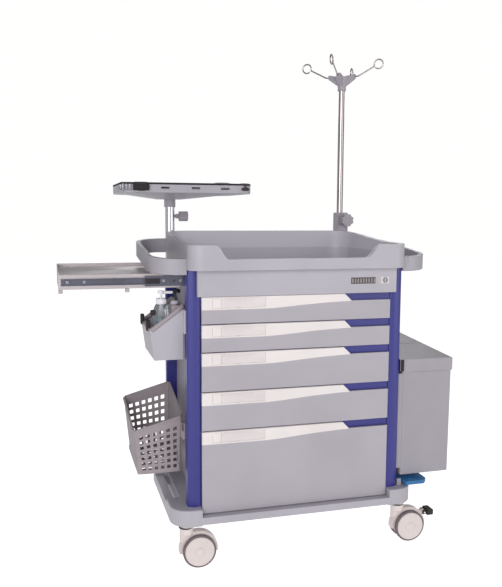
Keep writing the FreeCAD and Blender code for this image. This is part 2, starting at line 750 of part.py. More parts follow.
def iv_pole():
    """Chrome tube that slides in the clamp."""
    tube = rod((IV_X, IV_Y, IV_FOOT_Z), Z_DIR, IV_RADIUS, IV_HEAD_Z + 26 - IV_FOOT_Z)
    bore = rod((IV_X, IV_Y, IV_FOOT_Z - 1), Z_DIR, IV_RADIUS - 1.8, IV_HEAD_Z + 40 - IV_FOOT_Z)
    return tube.cut(bore)


def iv_hook_head():
    """Tapered hub with four arms, turning on top of the pole."""
    collar = rod((IV_X, IV_Y, IV_HEAD_Z), Z_DIR, 15, 18)
    cone = Part.makeCone(15, 30, IV_HUB_TOP - IV_HEAD_Z - 26, Vec(IV_X, IV_Y, IV_HEAD_Z + 17),
                         Z_DIR)
    arms = []
    for turn in range(4):
        profile = [
            Vec(IV_X, IV_Y - 8, IV_HUB_TOP - 8),
            Vec(IV_X + 49, IV_Y - 8, IV_HUB_TOP),
            Vec(IV_X + 49, IV_Y - 8, IV_HUB_TOP - 15),
            Vec(IV_X + 13, IV_Y - 8, IV_HEAD_Z + 16),
            Vec(IV_X, IV_Y - 8, IV_HEAD_Z + 16),
        ]
        arm = prism(profile, Vec(0, 16, 0))
        arm.rotate(Vec(IV_X, IV_Y, 0), Z_DIR, 90 * turn + HOOK_TURN)
        arms.append(arm)
    shape = union([collar, cone] + arms)
    bore = rod((IV_X, IV_Y, IV_HEAD_Z - 1), Z_DIR, IV_RADIUS + RUN_CLEARANCE, 28)
    shape = shape.cut(bore)
    for turn in range(4):
        socket = Part.makeCylinder(HOOK_WIRE, 14, Vec(IV_X + 36, IV_Y, IV_HUB_TOP - 8), X_DIR)
        socket.rotate(Vec(IV_X, IV_Y, 0), Z_DIR, 90 * turn + HOOK_TURN)
        shape = shape.cut(socket)
    return shape


def iv_hooks():
    """Four wire hooks, each ending in an open ring."""
    start = Vec(IV_X + 36, IV_Y, IV_HUB_TOP - 8)
    shoulder = Vec(IV_X + 56, IV_Y, IV_HUB_TOP - 8)
    bend = Vec(IV_X + 62, IV_Y, IV_HUB_TOP - 6.5)
    lift = Vec(IV_X + 67, IV_Y, IV_HUB_TOP - 4)
    centre = Vec(IV_X + HOOK_RING_OUT, IV_Y, HOOK_RING_Z)
    angles = (205, 60, -80)
    ring = []
    for angle in angles:
        turn = math.radians(angle)
        ring.append(centre + Vec(HOOK_RING_RADIUS * math.cos(turn), 0,
                                 HOOK_RING_RADIUS * math.sin(turn)))
    path = Part.Wire([
        Part.makeLine(start, shoulder),
        Part.Arc(shoulder, bend, lift).toShape(),
        Part.makeLine(lift, ring[0]),
        Part.Arc(ring[0], ring[1], ring[2]).toShape(),
    ])
    section = Part.Wire(Part.makeCircle(HOOK_WIRE, start, X_DIR))
    hook = path.makePipeShell([section], True, False, 2)
    hooks = []
    for turn in range(4):
        copy = hook.copy()
        copy.rotate(Vec(IV_X, IV_Y, 0), Z_DIR, 90 * turn + HOOK_TURN)
        hooks.append(copy)
    return Part.makeCompound(hooks)


# ---------------------------------------------------------------- waste bins
def waste_bins():
    """Two tapered bins with hanger pads that meet the columns."""
    bins = []
    for index, start in enumerate(BIN_STARTS):
        end = start + BIN_LENGTH
        shells = []
        for inset, floor in ((0, BIN_BOTTOM), (BIN_WALL, BIN_BOTTOM + BIN_WALL)):
            radius = BIN_RADIUS - inset
            low = rounded_wire(BIN_X[0] + inset + 1, BIN_X[1] - inset - 2,
                               start + inset + 3, end - inset - 3, floor, radius, radius)
            side = inset + BIN_RIM_INSET
            high = rounded_wire(BIN_X[0] + inset, BIN_X[1] - inset,
                                start + side, end - side, BIN_TOP + inset * 0.4,
                                radius, radius)
            shells.append(Part.makeLoft([low, high], True, True))
        pad_y = 14 if index == 0 else REAR_COLUMN_Y
        pad = block(CABINET_HALF, BIN_X[0] + 2.4, pad_y, pad_y + 9, 235, 545)
        shape = shells[0].fuse(pad).cut(shells[1]).removeSplitter()
        bins.append(shape)
    return Part.makeCompound(bins)


def lid_axis_point(y):
    """Point of the lids' hinge axis, which rises to the back with their tops."""
    return (LID_PIVOT[0], y, LID_PIVOT[1] + LID_SLOPE * (y - BIN_STARTS[0]))


def lid_block(x0, x1, y0, y1, drop):
    """Prism under the lids' sloping top, from the skirt's foot up."""
    profile = []
    for y, foot in ((y0, True), (y1, True), (y1, False), (y0, False)):
        top = LID_TOP_Z + LID_SLOPE * (y - BIN_STARTS[0]) - drop
        profile.append(Vec(x0, y, LID_SKIRT_Z - (1 if drop else 0) if foot else top))
    return prism(profile, Vec(x1 - x0, 0, 0))


def bin_lids():
    """Two lids with three-sided skirts and a hinge barrel on the cabinet side."""
    lids = []
    along = Vec(0, 1, LID_SLOPE)
    for start in BIN_STARTS:
        y0 = start - LID_OVERHANG
        y1 = start + BIN_LENGTH + LID_OVERHANG
        solid = lid_block(LID_INNER, LID_OUTER, y0, y1, 0)
        outer_edges = []
        for edge in solid.Edges:
            box = edge.BoundBox
            on_outer = box.XLength < 1e-4 and box.XMin > LID_OUTER - 1
            if on_outer and box.ZMin > LID_SKIRT_Z + 1:
                outer_edges.append(edge)
            elif on_outer and box.ZLength > 30:
                outer_edges.append(edge)
        solid = solid.makeFillet(6, outer_edges)
        cavity = lid_block(LID_INNER - 1, LID_OUTER - LID_WALL, y0 + LID_WALL, y1 - LID_WALL, 3)
        under_hinge = lid_block(LID_INNER - 1, LID_PIVOT[0] + 5, y0 - 1, y1 + 1, 3)
        length = (y1 - y0 - 2) * along.Length
        foot = lid_axis_point(y0 + 1)
        barrel = rod(foot, along, HINGE_BARREL, length)
        bore = rod(foot, along, HINGE_PIN + RUN_CLEARANCE, length * 1.1)
        bore.translate(along * -4)
        lids.append(union([solid.cut(cavity).cut(under_hinge), barrel]).cut(bore))
    return Part.makeCompound(lids)


def bin_pedal():
    """Foot plate with a chamfered tip, on a cross bore."""
    x0, x1 = PEDAL_X
    y0, y1 = PEDAL_Y
    z0, z1 = PEDAL_Z
    plan = [
        Vec(x0, y0, z0), Vec(x0 + 17, y0, z0), Vec(x0 + 17, PEDAL_NOSE, z0),
        Vec(x1 - 14, PEDAL_NOSE, z0), Vec(x1, PEDAL_NOSE + 16, z0),
        Vec(x1, y1 - 16, z0), Vec(x1 - 14, y1, z0), Vec(x0, y1, z0),
    ]
    plate = prism(plan, Vec(0, 0, z1 - z0))
    bore = rod((PEDAL_PIVOT[0], y0 - 1, PEDAL_PIVOT[1]), Y_DIR, 3 + RUN_CLEARANCE, y1 - y0 + 2)
    return plate.cut(bore)


# ---------------------------------------------------------------- left side accessories
def utility_profile(inset):
    """Outline of the utility box across the cart, with a slanted rim."""
    inner = UTILITY_INNER - inset
    outer = UTILITY_OUTER + inset
    foot = UTILITY_BOTTOM + inset
    lift = inset * 30
    return [
        Vec(inner, 0, foot),
        Vec(inner, 0, 783 + lift),
        Vec(outer, 0, 710 + lift),
        Vec(outer + UTILITY_TAPER, 0, foot),
    ]


def utility_box():
    """Open holder with a slanted rim and hanging hooks."""
    solids = []
    for inset, y0, y1 in ((0, UTILITY_Y[0], UTILITY_Y[1]), (3, UTILITY_Y[0] + 3, UTILITY_Y[1] - 3)):
        points = [Vec(p.x, y0, p.z) for p in utility_profile(inset)]
        solids.append(prism(points, Vec(0, y1 - y0, 0)))
    shell = solids[0].cut(solids[1])
    hook_front = block(UTILITY_INNER - 2, -CABINET_HALF, UTILITY_Y[0] - 22, UTILITY_Y[0] + 3,
                       700, 770)
    hook_plate = block(UTILITY_INNER - 2, UTILITY_INNER, UTILITY_Y[0] - 22, UTILITY_Y[0] + 6,
                       700, 770)
    return union([shell, hook_front, hook_plate])


def dispenser_bottle():
    """Round bottle standing in the utility box."""
    foot = UTILITY_BOTTOM + 3
    body = rod((DISPENSER_X, DISPENSER_Y, foot), Z_DIR, BOTTLE_RADIUS, BOTTLE_SHOULDER - foot)
    shoulder = Part.makeCone(BOTTLE_RADIUS, 12, 16,
                             Vec(DISPENSER_X, DISPENSER_Y, BOTTLE_SHOULDER), Z_DIR)
    neck = rod((DISPENSER_X, DISPENSER_Y, 788), Z_DIR, 13, 12)
    shape = union([body, shoulder, neck])
    return shape.cut(rod((DISPENSER_X, DISPENSER_Y, 745), Z_DIR, 4 + RUN_CLEARANCE, 60))


def dispenser_pump():
    """Pump plunger with its spout."""
    stem = rod((DISPENSER_X, DISPENSER_Y, 770), Z_DIR, 4, 44)
    cap = rod((DISPENSER_X, DISPENSER_Y, 813), Z_DIR, 10, 9)
    spout = block(DISPENSER_X, DISPENSER_X + 34, DISPENSER_Y - 4, DISPENSER_Y + 4, 814, 821)
    return union([stem, cap, spout])


def side_basket():
    """Tapered basket with a rim that rises to the cabinet and to the back."""
    shells = []
    for inset, top_extra in ((0, 0), (BASKET_WALL, 1)):
        low = rounded_wire(BASKET_BOTTOM_OUTER + inset, BASKET_INNER - 5 - inset,
                           BASKET_FRONT + 8 + inset, BASKET_REAR - 8 - inset,
                           BASKET_BOTTOM + inset, 10, 10)
        high = rounded_wire(BASKET_TOP_OUTER + inset, BASKET_INNER - inset,
                            BASKET_FRONT + inset, BASKET_REAR - inset,
                            520 + top_extra, 10, 10)
        shells.append(Part.makeLoft([low, high], True, True))
    basket = shells[0].cut(shells[1])
    rim = []
    for x, y in ((-520, 40), (-330, 40), (-330, 345), (-520, 345)):
        rim.append(Vec(x, y, 400 + 0.28 * (x - BASKET_TOP_OUTER) + 0.18 * (y - BASKET_FRONT)))
    basket = basket.cut(prism(rim, Vec(0, 0, 300)))
    strap = block(BASKET_INNER - 3, -CABINET_HALF, 66, 92, 380, 425)
    strap = strap.cut(shells[1])
    hook = block(BASKET_INNER - 1, -CABINET_HALF, 20, 92, 380, 425)
    return union([basket, strap, hook])


# ---------------------------------------------------------------- casters
def caster_body(stem_x, stem_y, braked):
    """Swivel stem and arched hood between the twin wheels."""
    hub_x = stem_x + TRAIL
    hood = rod((hub_x, stem_y - HOOD_HALF, WHEEL_RADIUS), Y_DIR, HOOD_RADIUS, 2 * HOOD_HALF)
    keep = block(hub_x - 80, hub_x + 80, stem_y - 40, stem_y + 40, 42, 200)
    hood = hood.common(keep)
    boss = rod((stem_x, stem_y, 78), Z_DIR, 21, BASE_BOTTOM - 0.5 - 78)
    boss = boss.cut(block(stem_x - 30, stem_x + 30, stem_y - 40, stem_y - HOOD_HALF, 70, 101))
    boss = boss.cut(block(stem_x - 30, stem_x + 30, stem_y + HOOD_HALF, stem_y + 40, 70, 101))
    stem = rod((stem_x, stem_y, 110), Z_DIR, STEM_RADIUS, 40)
    parts = [hood, boss, stem]
    if braked:
        pin_x = hub_x + BRAKE_REACH
        parts.append(block(hub_x + 40, pin_x + 4, stem_y - 6, stem_y + 6, BRAKE_Z - 8, BRAKE_Z + 6))
        parts.append(rod((pin_x, stem_y - 16, BRAKE_Z), Y_DIR, BRAKE_PIN, 32))
    shape = union(parts)
    bore = rod((hub_x, stem_y - 40, WHEEL_RADIUS), Y_DIR, 5 + RUN_CLEARANCE, 80)
    return shape.cut(bore)


def caster_wheels(stem_x, stem_y):
    """Twin wheels on one axle, with crowned discs and stepped treads."""
    hub_x = stem_x + TRAIL
    half = WHEEL_GAP + WHEEL_WIDTH
    profile = [
        Vec(0, 0, 0),
        Vec(5, 0, 0),
        Vec(5, WHEEL_GAP, 0),
        Vec(WHEEL_RADIUS - 3, WHEEL_GAP, 0),
        Vec(WHEEL_RADIUS, WHEEL_GAP + 3, 0),
        Vec(WHEEL_RADIUS, half - 6, 0),
        Vec(WHEEL_RADIUS - 2, half - 3.5, 0),
        Vec(WHEEL_RADIUS - 5, half - 3, 0),
        Vec(WHEEL_RADIUS - 5.5, half - 4, 0),
        Vec(WHEEL_RADIUS - 7, half - 2.2, 0),
        Vec(24, half, 0),
        Vec(0, half + 0.6, 0),
    ]
    face = Part.Face(Part.makePolygon(profile + [profile[0]]))
    side = face.revolve(Vec(0, 0, 0), Y_DIR, 360)
    other = side.mirror(Vec(0, 0, 0), Y_DIR)
    wheels = union([side, other])
    wheels.translate(Vec(hub_x, stem_y, WHEEL_RADIUS))
    return wheels


def caster_brake(stem_x, stem_y):
    """Foot lever on the hood's outer end."""
    pin_x = stem_x + TRAIL + BRAKE_REACH
    tip_x = pin_x + 31
    parts = []
    for y in (stem_y - 13, stem_y + 7.5):
        parts.append(block(pin_x - 5, pin_x + 10, y, y + 5.5, BRAKE_Z - 6, BRAKE_Z + 7))
    parts.append(block(pin_x + 8, tip_x, stem_y - 18, stem_y + 18, BRAKE_Z - 8, BRAKE_Z + 10))
    shape = union(parts)
    tips = []
    for edge in shape.Edges:
        box = edge.BoundBox
        if box.XLength < 1e-4 and box.XMin > tip_x - 1:
            tips.append(edge)
    shape = shape.makeFillet(6, tips)
    bore = rod((pin_x, stem_y - 30, BRAKE_Z), Y_DIR, BRAKE_PIN + RUN_CLEARANCE, 60)
    return shape.cut(bore)


# ---------------------------------------------------------------- assembly
def all_parts():
    """Every node of the cart, by name."""
    parts = {
        "base_frame": base_frame(),
        "corner_columns": corner_columns(),
        "cabinet_panels": cabinet_panels(),
        "crossbars": crossbars(),
        "drawer_rails": drawer_rails(),
        "frame_fittings": frame_fittings(),
        "worktop_tray": worktop_tray(),
        "front_fascia": front_fascia(),
        "side_handles": side_handles(),
        "lock_cylinder": lock_cylinder(),
        "lock_bar": lock_bar(),
        "table_rails_fixed": table_rails_fixed(),
        "table_rails_middle": table_rails_middle(),
        "table_rails_inner": table_rails_inner(),
        "table_top": table_top(),
        "platform_post": platform_post(),
        "platform_knob": platform_knob(),
        "platform_deck": platform_deck(),
        "iv_clamp": iv_clamp(),
        "iv_knob": iv_knob(),
        "iv_pole": iv_pole(),
        "iv_hook_head": iv_hook_head(),
        "iv_hooks": iv_hooks(),
        "waste_bins": waste_bins(),
        "bin_lids": bin_lids(),
        "bin_pedal": bin_pedal(),
        "utility_box": utility_box(),
        "dispenser_bottle": dispenser_bottle(),
        "dispenser_pump": dispenser_pump(),
        "side_basket": side_basket(),
    }
    for number, top, bottom in drawer_levels():
        parts["drawer_%d_front" % number] = drawer_front(top, bottom)
        parts["drawer_%d_grip" % number] = drawer_grip(top)
        parts["drawer_%d_tub" % number] = drawer_tub(top, bottom)
        parts["drawer_%d_runners" % number] = drawer_runners(top, bottom)
    casters = (
        ("front_left", -FRONT_STEM[0], FRONT_STEM[1], False),
        ("front_right", FRONT_STEM[0], FRONT_STEM[1], True),
        ("rear_left", -REAR_STEM[0], REAR_STEM[1], True),
        ("rear_right", REAR_STEM[0], REAR_STEM[1], False),
    )
    for name, x, y, braked in casters:
        parts["caster_" + name] = caster_body(x, y, braked)
        parts["wheels_" + name] = caster_wheels(x, y)
        if braked:
            parts["brake_" + name] = caster_brake(x, y)
    return parts


os.makedirs("parts", exist_ok=True)
for node, shape in all_parts().items():
    shape.translate(ORIGIN * -1)
    shape.exportStep("parts/%s.step" % node)
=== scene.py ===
import json
import math

import bmesh
import bpy
from mathutils import Matrix, Vector

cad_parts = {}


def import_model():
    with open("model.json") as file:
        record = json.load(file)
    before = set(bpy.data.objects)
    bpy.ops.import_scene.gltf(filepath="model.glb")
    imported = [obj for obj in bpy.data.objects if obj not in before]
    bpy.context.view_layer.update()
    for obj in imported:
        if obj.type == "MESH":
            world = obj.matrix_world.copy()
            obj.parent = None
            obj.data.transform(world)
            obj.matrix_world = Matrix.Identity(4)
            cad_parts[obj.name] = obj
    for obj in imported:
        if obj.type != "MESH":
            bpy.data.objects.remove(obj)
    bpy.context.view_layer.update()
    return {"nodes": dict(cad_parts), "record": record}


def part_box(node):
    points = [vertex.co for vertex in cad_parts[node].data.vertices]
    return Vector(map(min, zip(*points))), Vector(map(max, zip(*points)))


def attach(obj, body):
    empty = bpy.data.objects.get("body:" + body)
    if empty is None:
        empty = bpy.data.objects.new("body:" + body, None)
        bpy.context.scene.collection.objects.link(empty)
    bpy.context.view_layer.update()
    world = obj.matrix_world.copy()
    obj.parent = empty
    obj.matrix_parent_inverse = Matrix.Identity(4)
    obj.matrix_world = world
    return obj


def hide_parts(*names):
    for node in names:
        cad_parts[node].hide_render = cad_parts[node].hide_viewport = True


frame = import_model()

# ------------------------------------------------------------------ measures from the frame
NODES = frame["nodes"]
COLUMN_LOW, COLUMN_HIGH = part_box("corner_columns")
CENTRE_X = (COLUMN_LOW.x + COLUMN_HIGH.x) / 2
FRONT_Y = COLUMN_LOW.y
MM = 0.001
DRAWERS = (1, 2, 3, 4, 5)
CASTERS = ("front_left", "front_right", "rear_left", "rear_right")


def at(x, y, z):
    """A point given in millimetres from the cabinet's centre line, column fronts and floor."""
    return Vector((CENTRE_X + x * MM, FRONT_Y + y * MM, z * MM))


# ------------------------------------------------------------------ material helpers
def linear(value):
    """One sRGB channel, 0 to 255, as linear light."""
    share = value / 255
    if share <= 0.04045:
        return share / 12.92
    return ((share + 0.055) / 1.055) ** 2.4


def colour(red, green, blue):
    return (linear(red), linear(green), linear(blue), 1.0)


def tint(base, factor):
    return tuple(min(1.0, channel * factor) for channel in base[:3]) + (1.0,)


class Shader:
    """A small builder for one Principled material's node tree."""

    def __init__(self, name):
        self.material = bpy.data.materials.new(name)
        self.material.use_nodes = True
        self.tree = self.material.node_tree
        self.surface = self.tree.nodes["Principled BSDF"]
        self.coords = self.add("ShaderNodeTexCoord").outputs["Object"]

    def add(self, kind, **settings):
        node = self.tree.nodes.new(kind)
        for key, value in settings.items():
            setattr(node, key, value)
        return node

    def link(self, output, target):
        self.tree.links.new(output, target)

    def scaled(self, scale):
        """Object coordinates with a separate scale on each axis."""
        mapping = self.add("ShaderNodeMapping")
        mapping.inputs["Scale"].default_value = scale
        self.link(self.coords, mapping.inputs["Vector"])
        return mapping.outputs["Vector"]

    def noise(self, scale, detail=2.0, stretch=None, rough=0.5):
        node = self.add("ShaderNodeTexNoise")
        node.inputs["Scale"].default_value = scale
        node.inputs["Detail"].default_value = detail
        node.inputs["Roughness"].default_value = rough
        vector = self.coords if stretch is None else self.scaled(stretch)
        self.link(vector, node.inputs["Vector"])
        return node.outputs["Fac"]

    def spread(self, value, low, high, out_low, out_high):
        """Maps one range of a value onto another, clamped."""
        node = self.add("ShaderNodeMapRange")
        node.clamp = True
        for key, number in zip(("From Min", "From Max", "To Min", "To Max"),
                               (low, high, out_low, out_high)):
            node.inputs[key].default_value = number
        self.link(value, node.inputs["Value"])
        return node.outputs["Result"]

    def mix(self, share, first, second):
        node = self.add("ShaderNodeMix", data_type="RGBA", blend_type="MIX")
        for socket, value in ((node.inputs[0], share), (node.inputs[6], first),
                              (node.inputs[7], second)):
            if isinstance(value, (int, float, tuple)):
                socket.default_value = value
            else:
                self.link(value, socket)
        return node.outputs[2]

    def math(self, operation, first, second):
        node = self.add("ShaderNodeMath", operation=operation)
        for socket, value in zip(node.inputs, (first, second)):
            if isinstance(value, (int, float)):
                socket.default_value = value
            else:
                self.link(value, socket)
        return node.outputs[0]

    def edge_mask(self, radius):
        """White near sharp edges, where paint and plastic wear."""
        bevel = self.add("ShaderNodeBevel", samples=3)
        bevel.inputs["Radius"].default_value = radius
        geometry = self.add("ShaderNodeNewGeometry")
        dot = self.add("ShaderNodeVectorMath", operation="DOT_PRODUCT")
        self.link(bevel.outputs["Normal"], dot.inputs[0])
        self.link(geometry.outputs["Normal"], dot.inputs[1])
        return self.spread(dot.outputs["Value"], 0.72, 0.99, 1.0, 0.0)

    def bump(self, height, strength, distance, after=None):
        node = self.add("ShaderNodeBump")
        node.inputs["Strength"].default_value = strength
        node.inputs["Distance"].default_value = distance
        self.link(height, node.inputs["Height"])
        if after is not None:
            self.link(after, node.inputs["Normal"])
        return node.outputs["Normal"]

    def set(self, **values):
        """Sets or links Principled inputs, with underscores for spaces."""
        for key, value in values.items():
            socket = self.surface.inputs[key.replace("_", " ")]
            if isinstance(value, (int, float, tuple)):
                socket.default_value = value
            else:
                self.link(value, socket)
        return self.material


# ------------------------------------------------------------------ materials
def moulded_plastic(name, base, rough=0.42, wear=0.10, grain=0.10, coat=0.0):
    """Injection moulded ABS: spark-eroded grain, faint flow clouding, handled edges."""
    shader = Shader(name)
    clouds = shader.noise(5, 3)
    body = shader.mix(shader.spread(clouds, 0.35, 0.65, 0.0, 1.0), tint(base, 0.955),
                      tint(base, 1.035))
    marks = shader.noise(60, 5, stretch=(1.0, 1.0, 0.35), rough=0.7)
    body = shader.mix(shader.spread(marks, 0.62, 0.78, 0.0, 0.16), body, tint(base, 0.80))
    edge = shader.math("MULTIPLY", shader.edge_mask(0.0016), wear)
    body = shader.mix(edge, body, tint(base, 1.45))
    fine = shader.noise(1500, 1)
    coarse = shader.noise(420, 2)
    normal = shader.bump(fine, grain, 0.0002)
    normal = shader.bump(coarse, grain * 0.8, 0.0003, after=normal)
    scuffs = shader.spread(marks, 0.4, 0.75, rough - 0.05, rough + 0.12)
    return shader.set(Base_Color=body, Roughness=scuffs, Normal=normal, IOR=1.5,
                      Coat_Weight=coat, Coat_Roughness=0.22)


def powder_coat(name, base, rough=0.36):
    """Powder-coated aluminium: orange peel, and paint thinned on the edges."""
    shader = Shader(name)
    clouds = shader.noise(9, 3)
    body = shader.mix(clouds, tint(base, 0.92), tint(base, 1.06))
    edge = shader.math("MULTIPLY", shader.edge_mask(0.0018), 0.30)
    body = shader.mix(edge, body, tint(base, 1.9))
    scratch = shader.noise(140, 4, stretch=(1.0, 1.0, 0.06), rough=0.75)
    body = shader.mix(shader.spread(scratch, 0.66, 0.74, 0.0, 0.25), body, tint(base, 1.5))
    peel = shader.noise(520, 2)
    grain = shader.noise(2200, 0)
    normal = shader.bump(peel, 0.16, 0.0003)
    normal = shader.bump(grain, 0.08, 0.0001, after=normal)
    return shader.set(Base_Color=body, Roughness=shader.spread(peel, 0.3, 0.7, rough - 0.05,
                      rough + 0.08), Normal=normal, Coat_Weight=0.25, Coat_Roughness=0.25)


def brushed_metal(name, base, along, rough=0.34, dents=0.0):
    """Steel with fine brush lines along one axis, and dull handling marks."""
    shader = Shader(name)
    stretch = [900.0, 900.0, 900.0]
    stretch["xyz".index(along)] = 7.0
    lines = shader.noise(1.0, 3, stretch=tuple(stretch), rough=0.65)
    smears = shader.noise(14, 4)
    body = shader.mix(shader.spread(lines, 0.3, 0.7, 0.0, 1.0), tint(base, 0.86), tint(base, 1.08))
    body = shader.mix(shader.spread(smears, 0.52, 0.72, 0.0, 0.10), body, tint(base, 0.82))
    normal = shader.bump(lines, 0.22, 0.0001)
    if dents:
        normal = shader.bump(shader.noise(11, 1), dents, 0.002, after=normal)
    dull = shader.spread(smears, 0.3, 0.7, rough - 0.03, rough + 0.06)
    return shader.set(Base_Color=body, Metallic=1.0, Roughness=dull, Normal=normal,
                      Anisotropic=0.45)


def chrome(name, base):
    """Bright plating with faint finger marks and fine polish lines."""
    shader = Shader(name)
    prints = shader.noise(11, 3)
    polish = shader.noise(1.0, 2, stretch=(500.0, 500.0, 8.0))
    body = shader.mix(shader.spread(prints, 0.5, 0.75, 0.0, 0.2), base, tint(base, 0.85))
    normal = shader.bump(polish, 0.02, 0.00003)
    return shader.set(Base_Color=body, Metallic=1.0, Normal=normal,
                      Roughness=shader.spread(prints, 0.3, 0.75, 0.09, 0.15))


def rubber(name, base, rough=0.78):
    """Matt rubber or soft plastic with fine pores and dusty high spots."""
    shader = Shader(name)
    dust = shader.noise(90, 5, rough=0.7)
    body = shader.mix(shader.spread(dust, 0.45, 0.8, 0.0, 0.35), base, tint(base, 2.2))
    pores = shader.noise(1300, 2)
    normal = shader.bump(pores, 0.3, 0.0002)
    return shader.set(Base_Color=body, Roughness=rough, Normal=normal, IOR=1.45)


def webbing(name, base):
    """Woven strap: crossed warp and weft ribs with a soft sheen."""
    shader = Shader(name)
    ribs = []
    for axis, size in (("X", 520.0), ("Y", 330.0)):
        wave = shader.add("ShaderNodeTexWave", wave_type="BANDS", bands_direction=axis)
        wave.inputs["Scale"].default_value = size / 6.28
        wave.inputs["Distortion"].default_value = 0.6
        shader.link(shader.coords, wave.inputs["Vector"])
        ribs.append(wave.outputs["Fac"])
    weave = shader.math("MAXIMUM", ribs[0], ribs[1])
    fluff = shader.noise(1800, 2)
    body = shader.mix(weave, tint(base, 0.55), tint(base, 1.5))
    body = shader.mix(shader.spread(fluff, 0.55, 0.8, 0.0, 0.4), body, tint(base, 2.6))
    normal = shader.bump(weave, 0.55, 0.0005)
    normal = shader.bump(fluff, 0.3, 0.0002, after=normal)
    return shader.set(Base_Color=body, Roughness=0.85, Normal=normal, Sheen_Weight=0.35)


def foam(name, base):
    """Closed-cell foam pad with open pores."""
    shader = Shader(name)
    cells = shader.add("ShaderNodeTexVoronoi")
    cells.inputs["Scale"].default_value = 900
    shader.link(shader.coords, cells.inputs["Vector"])
    clouds = shader.noise(30, 3)
    body = shader.mix(clouds, tint(base, 0.9), tint(base, 1.05))
    normal = shader.bump(cells.outputs["Distance"], 0.4, 0.0004)
    return shader.set(Base_Color=body, Roughness=0.9, Normal=normal)


def clear_plastic(name, base, rough=0.12, transmission=0.85):
    """Clear or milky moulding with slight waviness."""
    shader = Shader(name)
    waves = shader.noise(45, 2)
    haze = shader.noise(220, 3)
    body = shader.mix(haze, tint(base, 0.96), tint(base, 1.0))
    normal = shader.bump(waves, 0.08, 0.0006)
    return shader.set(Base_Color=body, Roughness=shader.spread(haze, 0.3, 0.7, rough, rough + 0.1),
                      Normal=normal, Transmission_Weight=transmission, IOR=1.46)


def wheel_finish(name, node, disc, tread):
    """Cream wheel disc inside a grey tread, split by the distance from the axle."""
    low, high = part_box(node)
    centre = (low + high) / 2
    radius = (high.z - low.z) / 2
    shader = Shader(name)
    shift = shader.add("ShaderNodeVectorMath", operation="SUBTRACT")
    shader.link(shader.coords, shift.inputs[0])
    shift.inputs[1].default_value = centre
    flat = shader.add("ShaderNodeVectorMath", operation="MULTIPLY")
    shader.link(shift.outputs[0], flat.inputs[0])
    flat.inputs[1].default_value = (1.0, 0.0, 1.0)
    length = shader.add("ShaderNodeVectorMath", operation="LENGTH")
    shader.link(flat.outputs[0], length.inputs[0])
    away = length.outputs["Value"]
    is_tread = shader.spread(away, radius * 0.875, radius * 0.895, 0.0, 1.0)
    clouds = shader.noise(40, 4)
    inner = shader.mix(clouds, tint(disc, 0.93), tint(disc, 1.03))
    seam_in = shader.spread(away, radius * 0.30, radius * 0.32, 0.0, 1.0)
    seam_out = shader.spread(away, radius * 0.32, radius * 0.34, 1.0, 0.0)
    seam = shader.math("MULTIPLY", seam_in, seam_out)
    inner = shader.mix(shader.math("MULTIPLY", seam, 0.25), inner, tint(disc, 0.6))
    dirt = shader.noise(130, 5, rough=0.75)
    outer = shader.mix(shader.spread(dirt, 0.4, 0.8, 0.0, 0.5), tread, tint(tread, 2.0))
    body = shader.mix(is_tread, inner, outer)
    pores = shader.noise(1100, 2)
    normal = shader.bump(pores, 0.16, 0.0002)
    return shader.set(Base_Color=body, Roughness=shader.spread(is_tread, 0, 1, 0.33, 0.78),
                      Normal=normal)


def worktop_wear_and_painted_light():
    """The worktop's ABS: painted light makes it paler within the rims, and painted shade makes it
    less pale below the step, on the recessed lower wall and floor.
    """
    shader = Shader("worktop_wear_and_painted_light")
    low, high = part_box("worktop_tray")
    rim, front_rim, blur = 9 * MM, 23.5 * MM, 1 * MM
    step_z = BASIN_STEP_Z * MM
    split = shader.add("ShaderNodeSeparateXYZ")
    shader.link(shader.coords, split.inputs[0])
    # Mask of the wall and floor within the rims, which are given painted light.
    inside_painted_light = shader.spread(split.outputs["Z"], low.z, low.z + blur, 0.0, 1.0)
    for axis, edge, way in (("X", low.x + rim, 1), ("X", high.x - rim, -1),
                            ("Y", low.y + front_rim, 1), ("Y", high.y - rim, -1)):
        part = shader.spread(split.outputs[axis], edge - blur * way, edge + blur * way,
                             0.0, 1.0)
        inside_painted_light = shader.math("MULTIPLY", inside_painted_light, part)
    # Mask below the step, within the rims, where painted shade darkens the recessed lower wall.
    basin_painted_shade = shader.spread(split.outputs["Z"], step_z - 3 * blur, step_z, 1.0, 0.0)
    basin_painted_shade = shader.math("MULTIPLY", inside_painted_light, basin_painted_shade)
    clouds = shader.noise(5, 3)
    body = shader.mix(shader.spread(clouds, 0.35, 0.65, 0.0, 1.0), tint(ABS, 0.955),
                      tint(ABS, 1.03))
    scrape = shader.noise(70, 5, stretch=(0.25, 1.0, 1.0), rough=0.7)
    body = shader.mix(shader.spread(scrape, 0.6, 0.78, 0.0, 0.15), body, tint(ABS, 0.8))
    # Painted light: within the rims the wall and floor are made paler.
    body = shader.mix(shader.math("MULTIPLY", inside_painted_light, 0.9), body, tint(ABS, 1.25))
    # Painted shade: below the step they are made less pale again.
    body = shader.mix(shader.math("MULTIPLY", basin_painted_shade, 0.7), body, tint(ABS, 1.02))
    edge = shader.math("MULTIPLY", shader.edge_mask(0.0016), 0.1)
    body = shader.mix(edge, body, tint(ABS, 1.45))
    normal = shader.bump(shader.noise(1500, 1), 0.1, 0.0002)
    normal = shader.bump(shader.noise(420, 2), 0.08, 0.0003, after=normal)
    return shader.set(Base_Color=body, Roughness=shader.spread(scrape, 0.4, 0.75, 0.36, 0.5),
                      Normal=normal)


BASIN_STEP_Z = 933
ABS = colour(182, 178, 186)
DRAWER = colour(178, 173, 180)
BLUE = colour(52, 52, 134)
WHITE = colour(236, 229, 227)
CREAM = colour(230, 218, 214)
RAIL = colour(114, 115, 127)

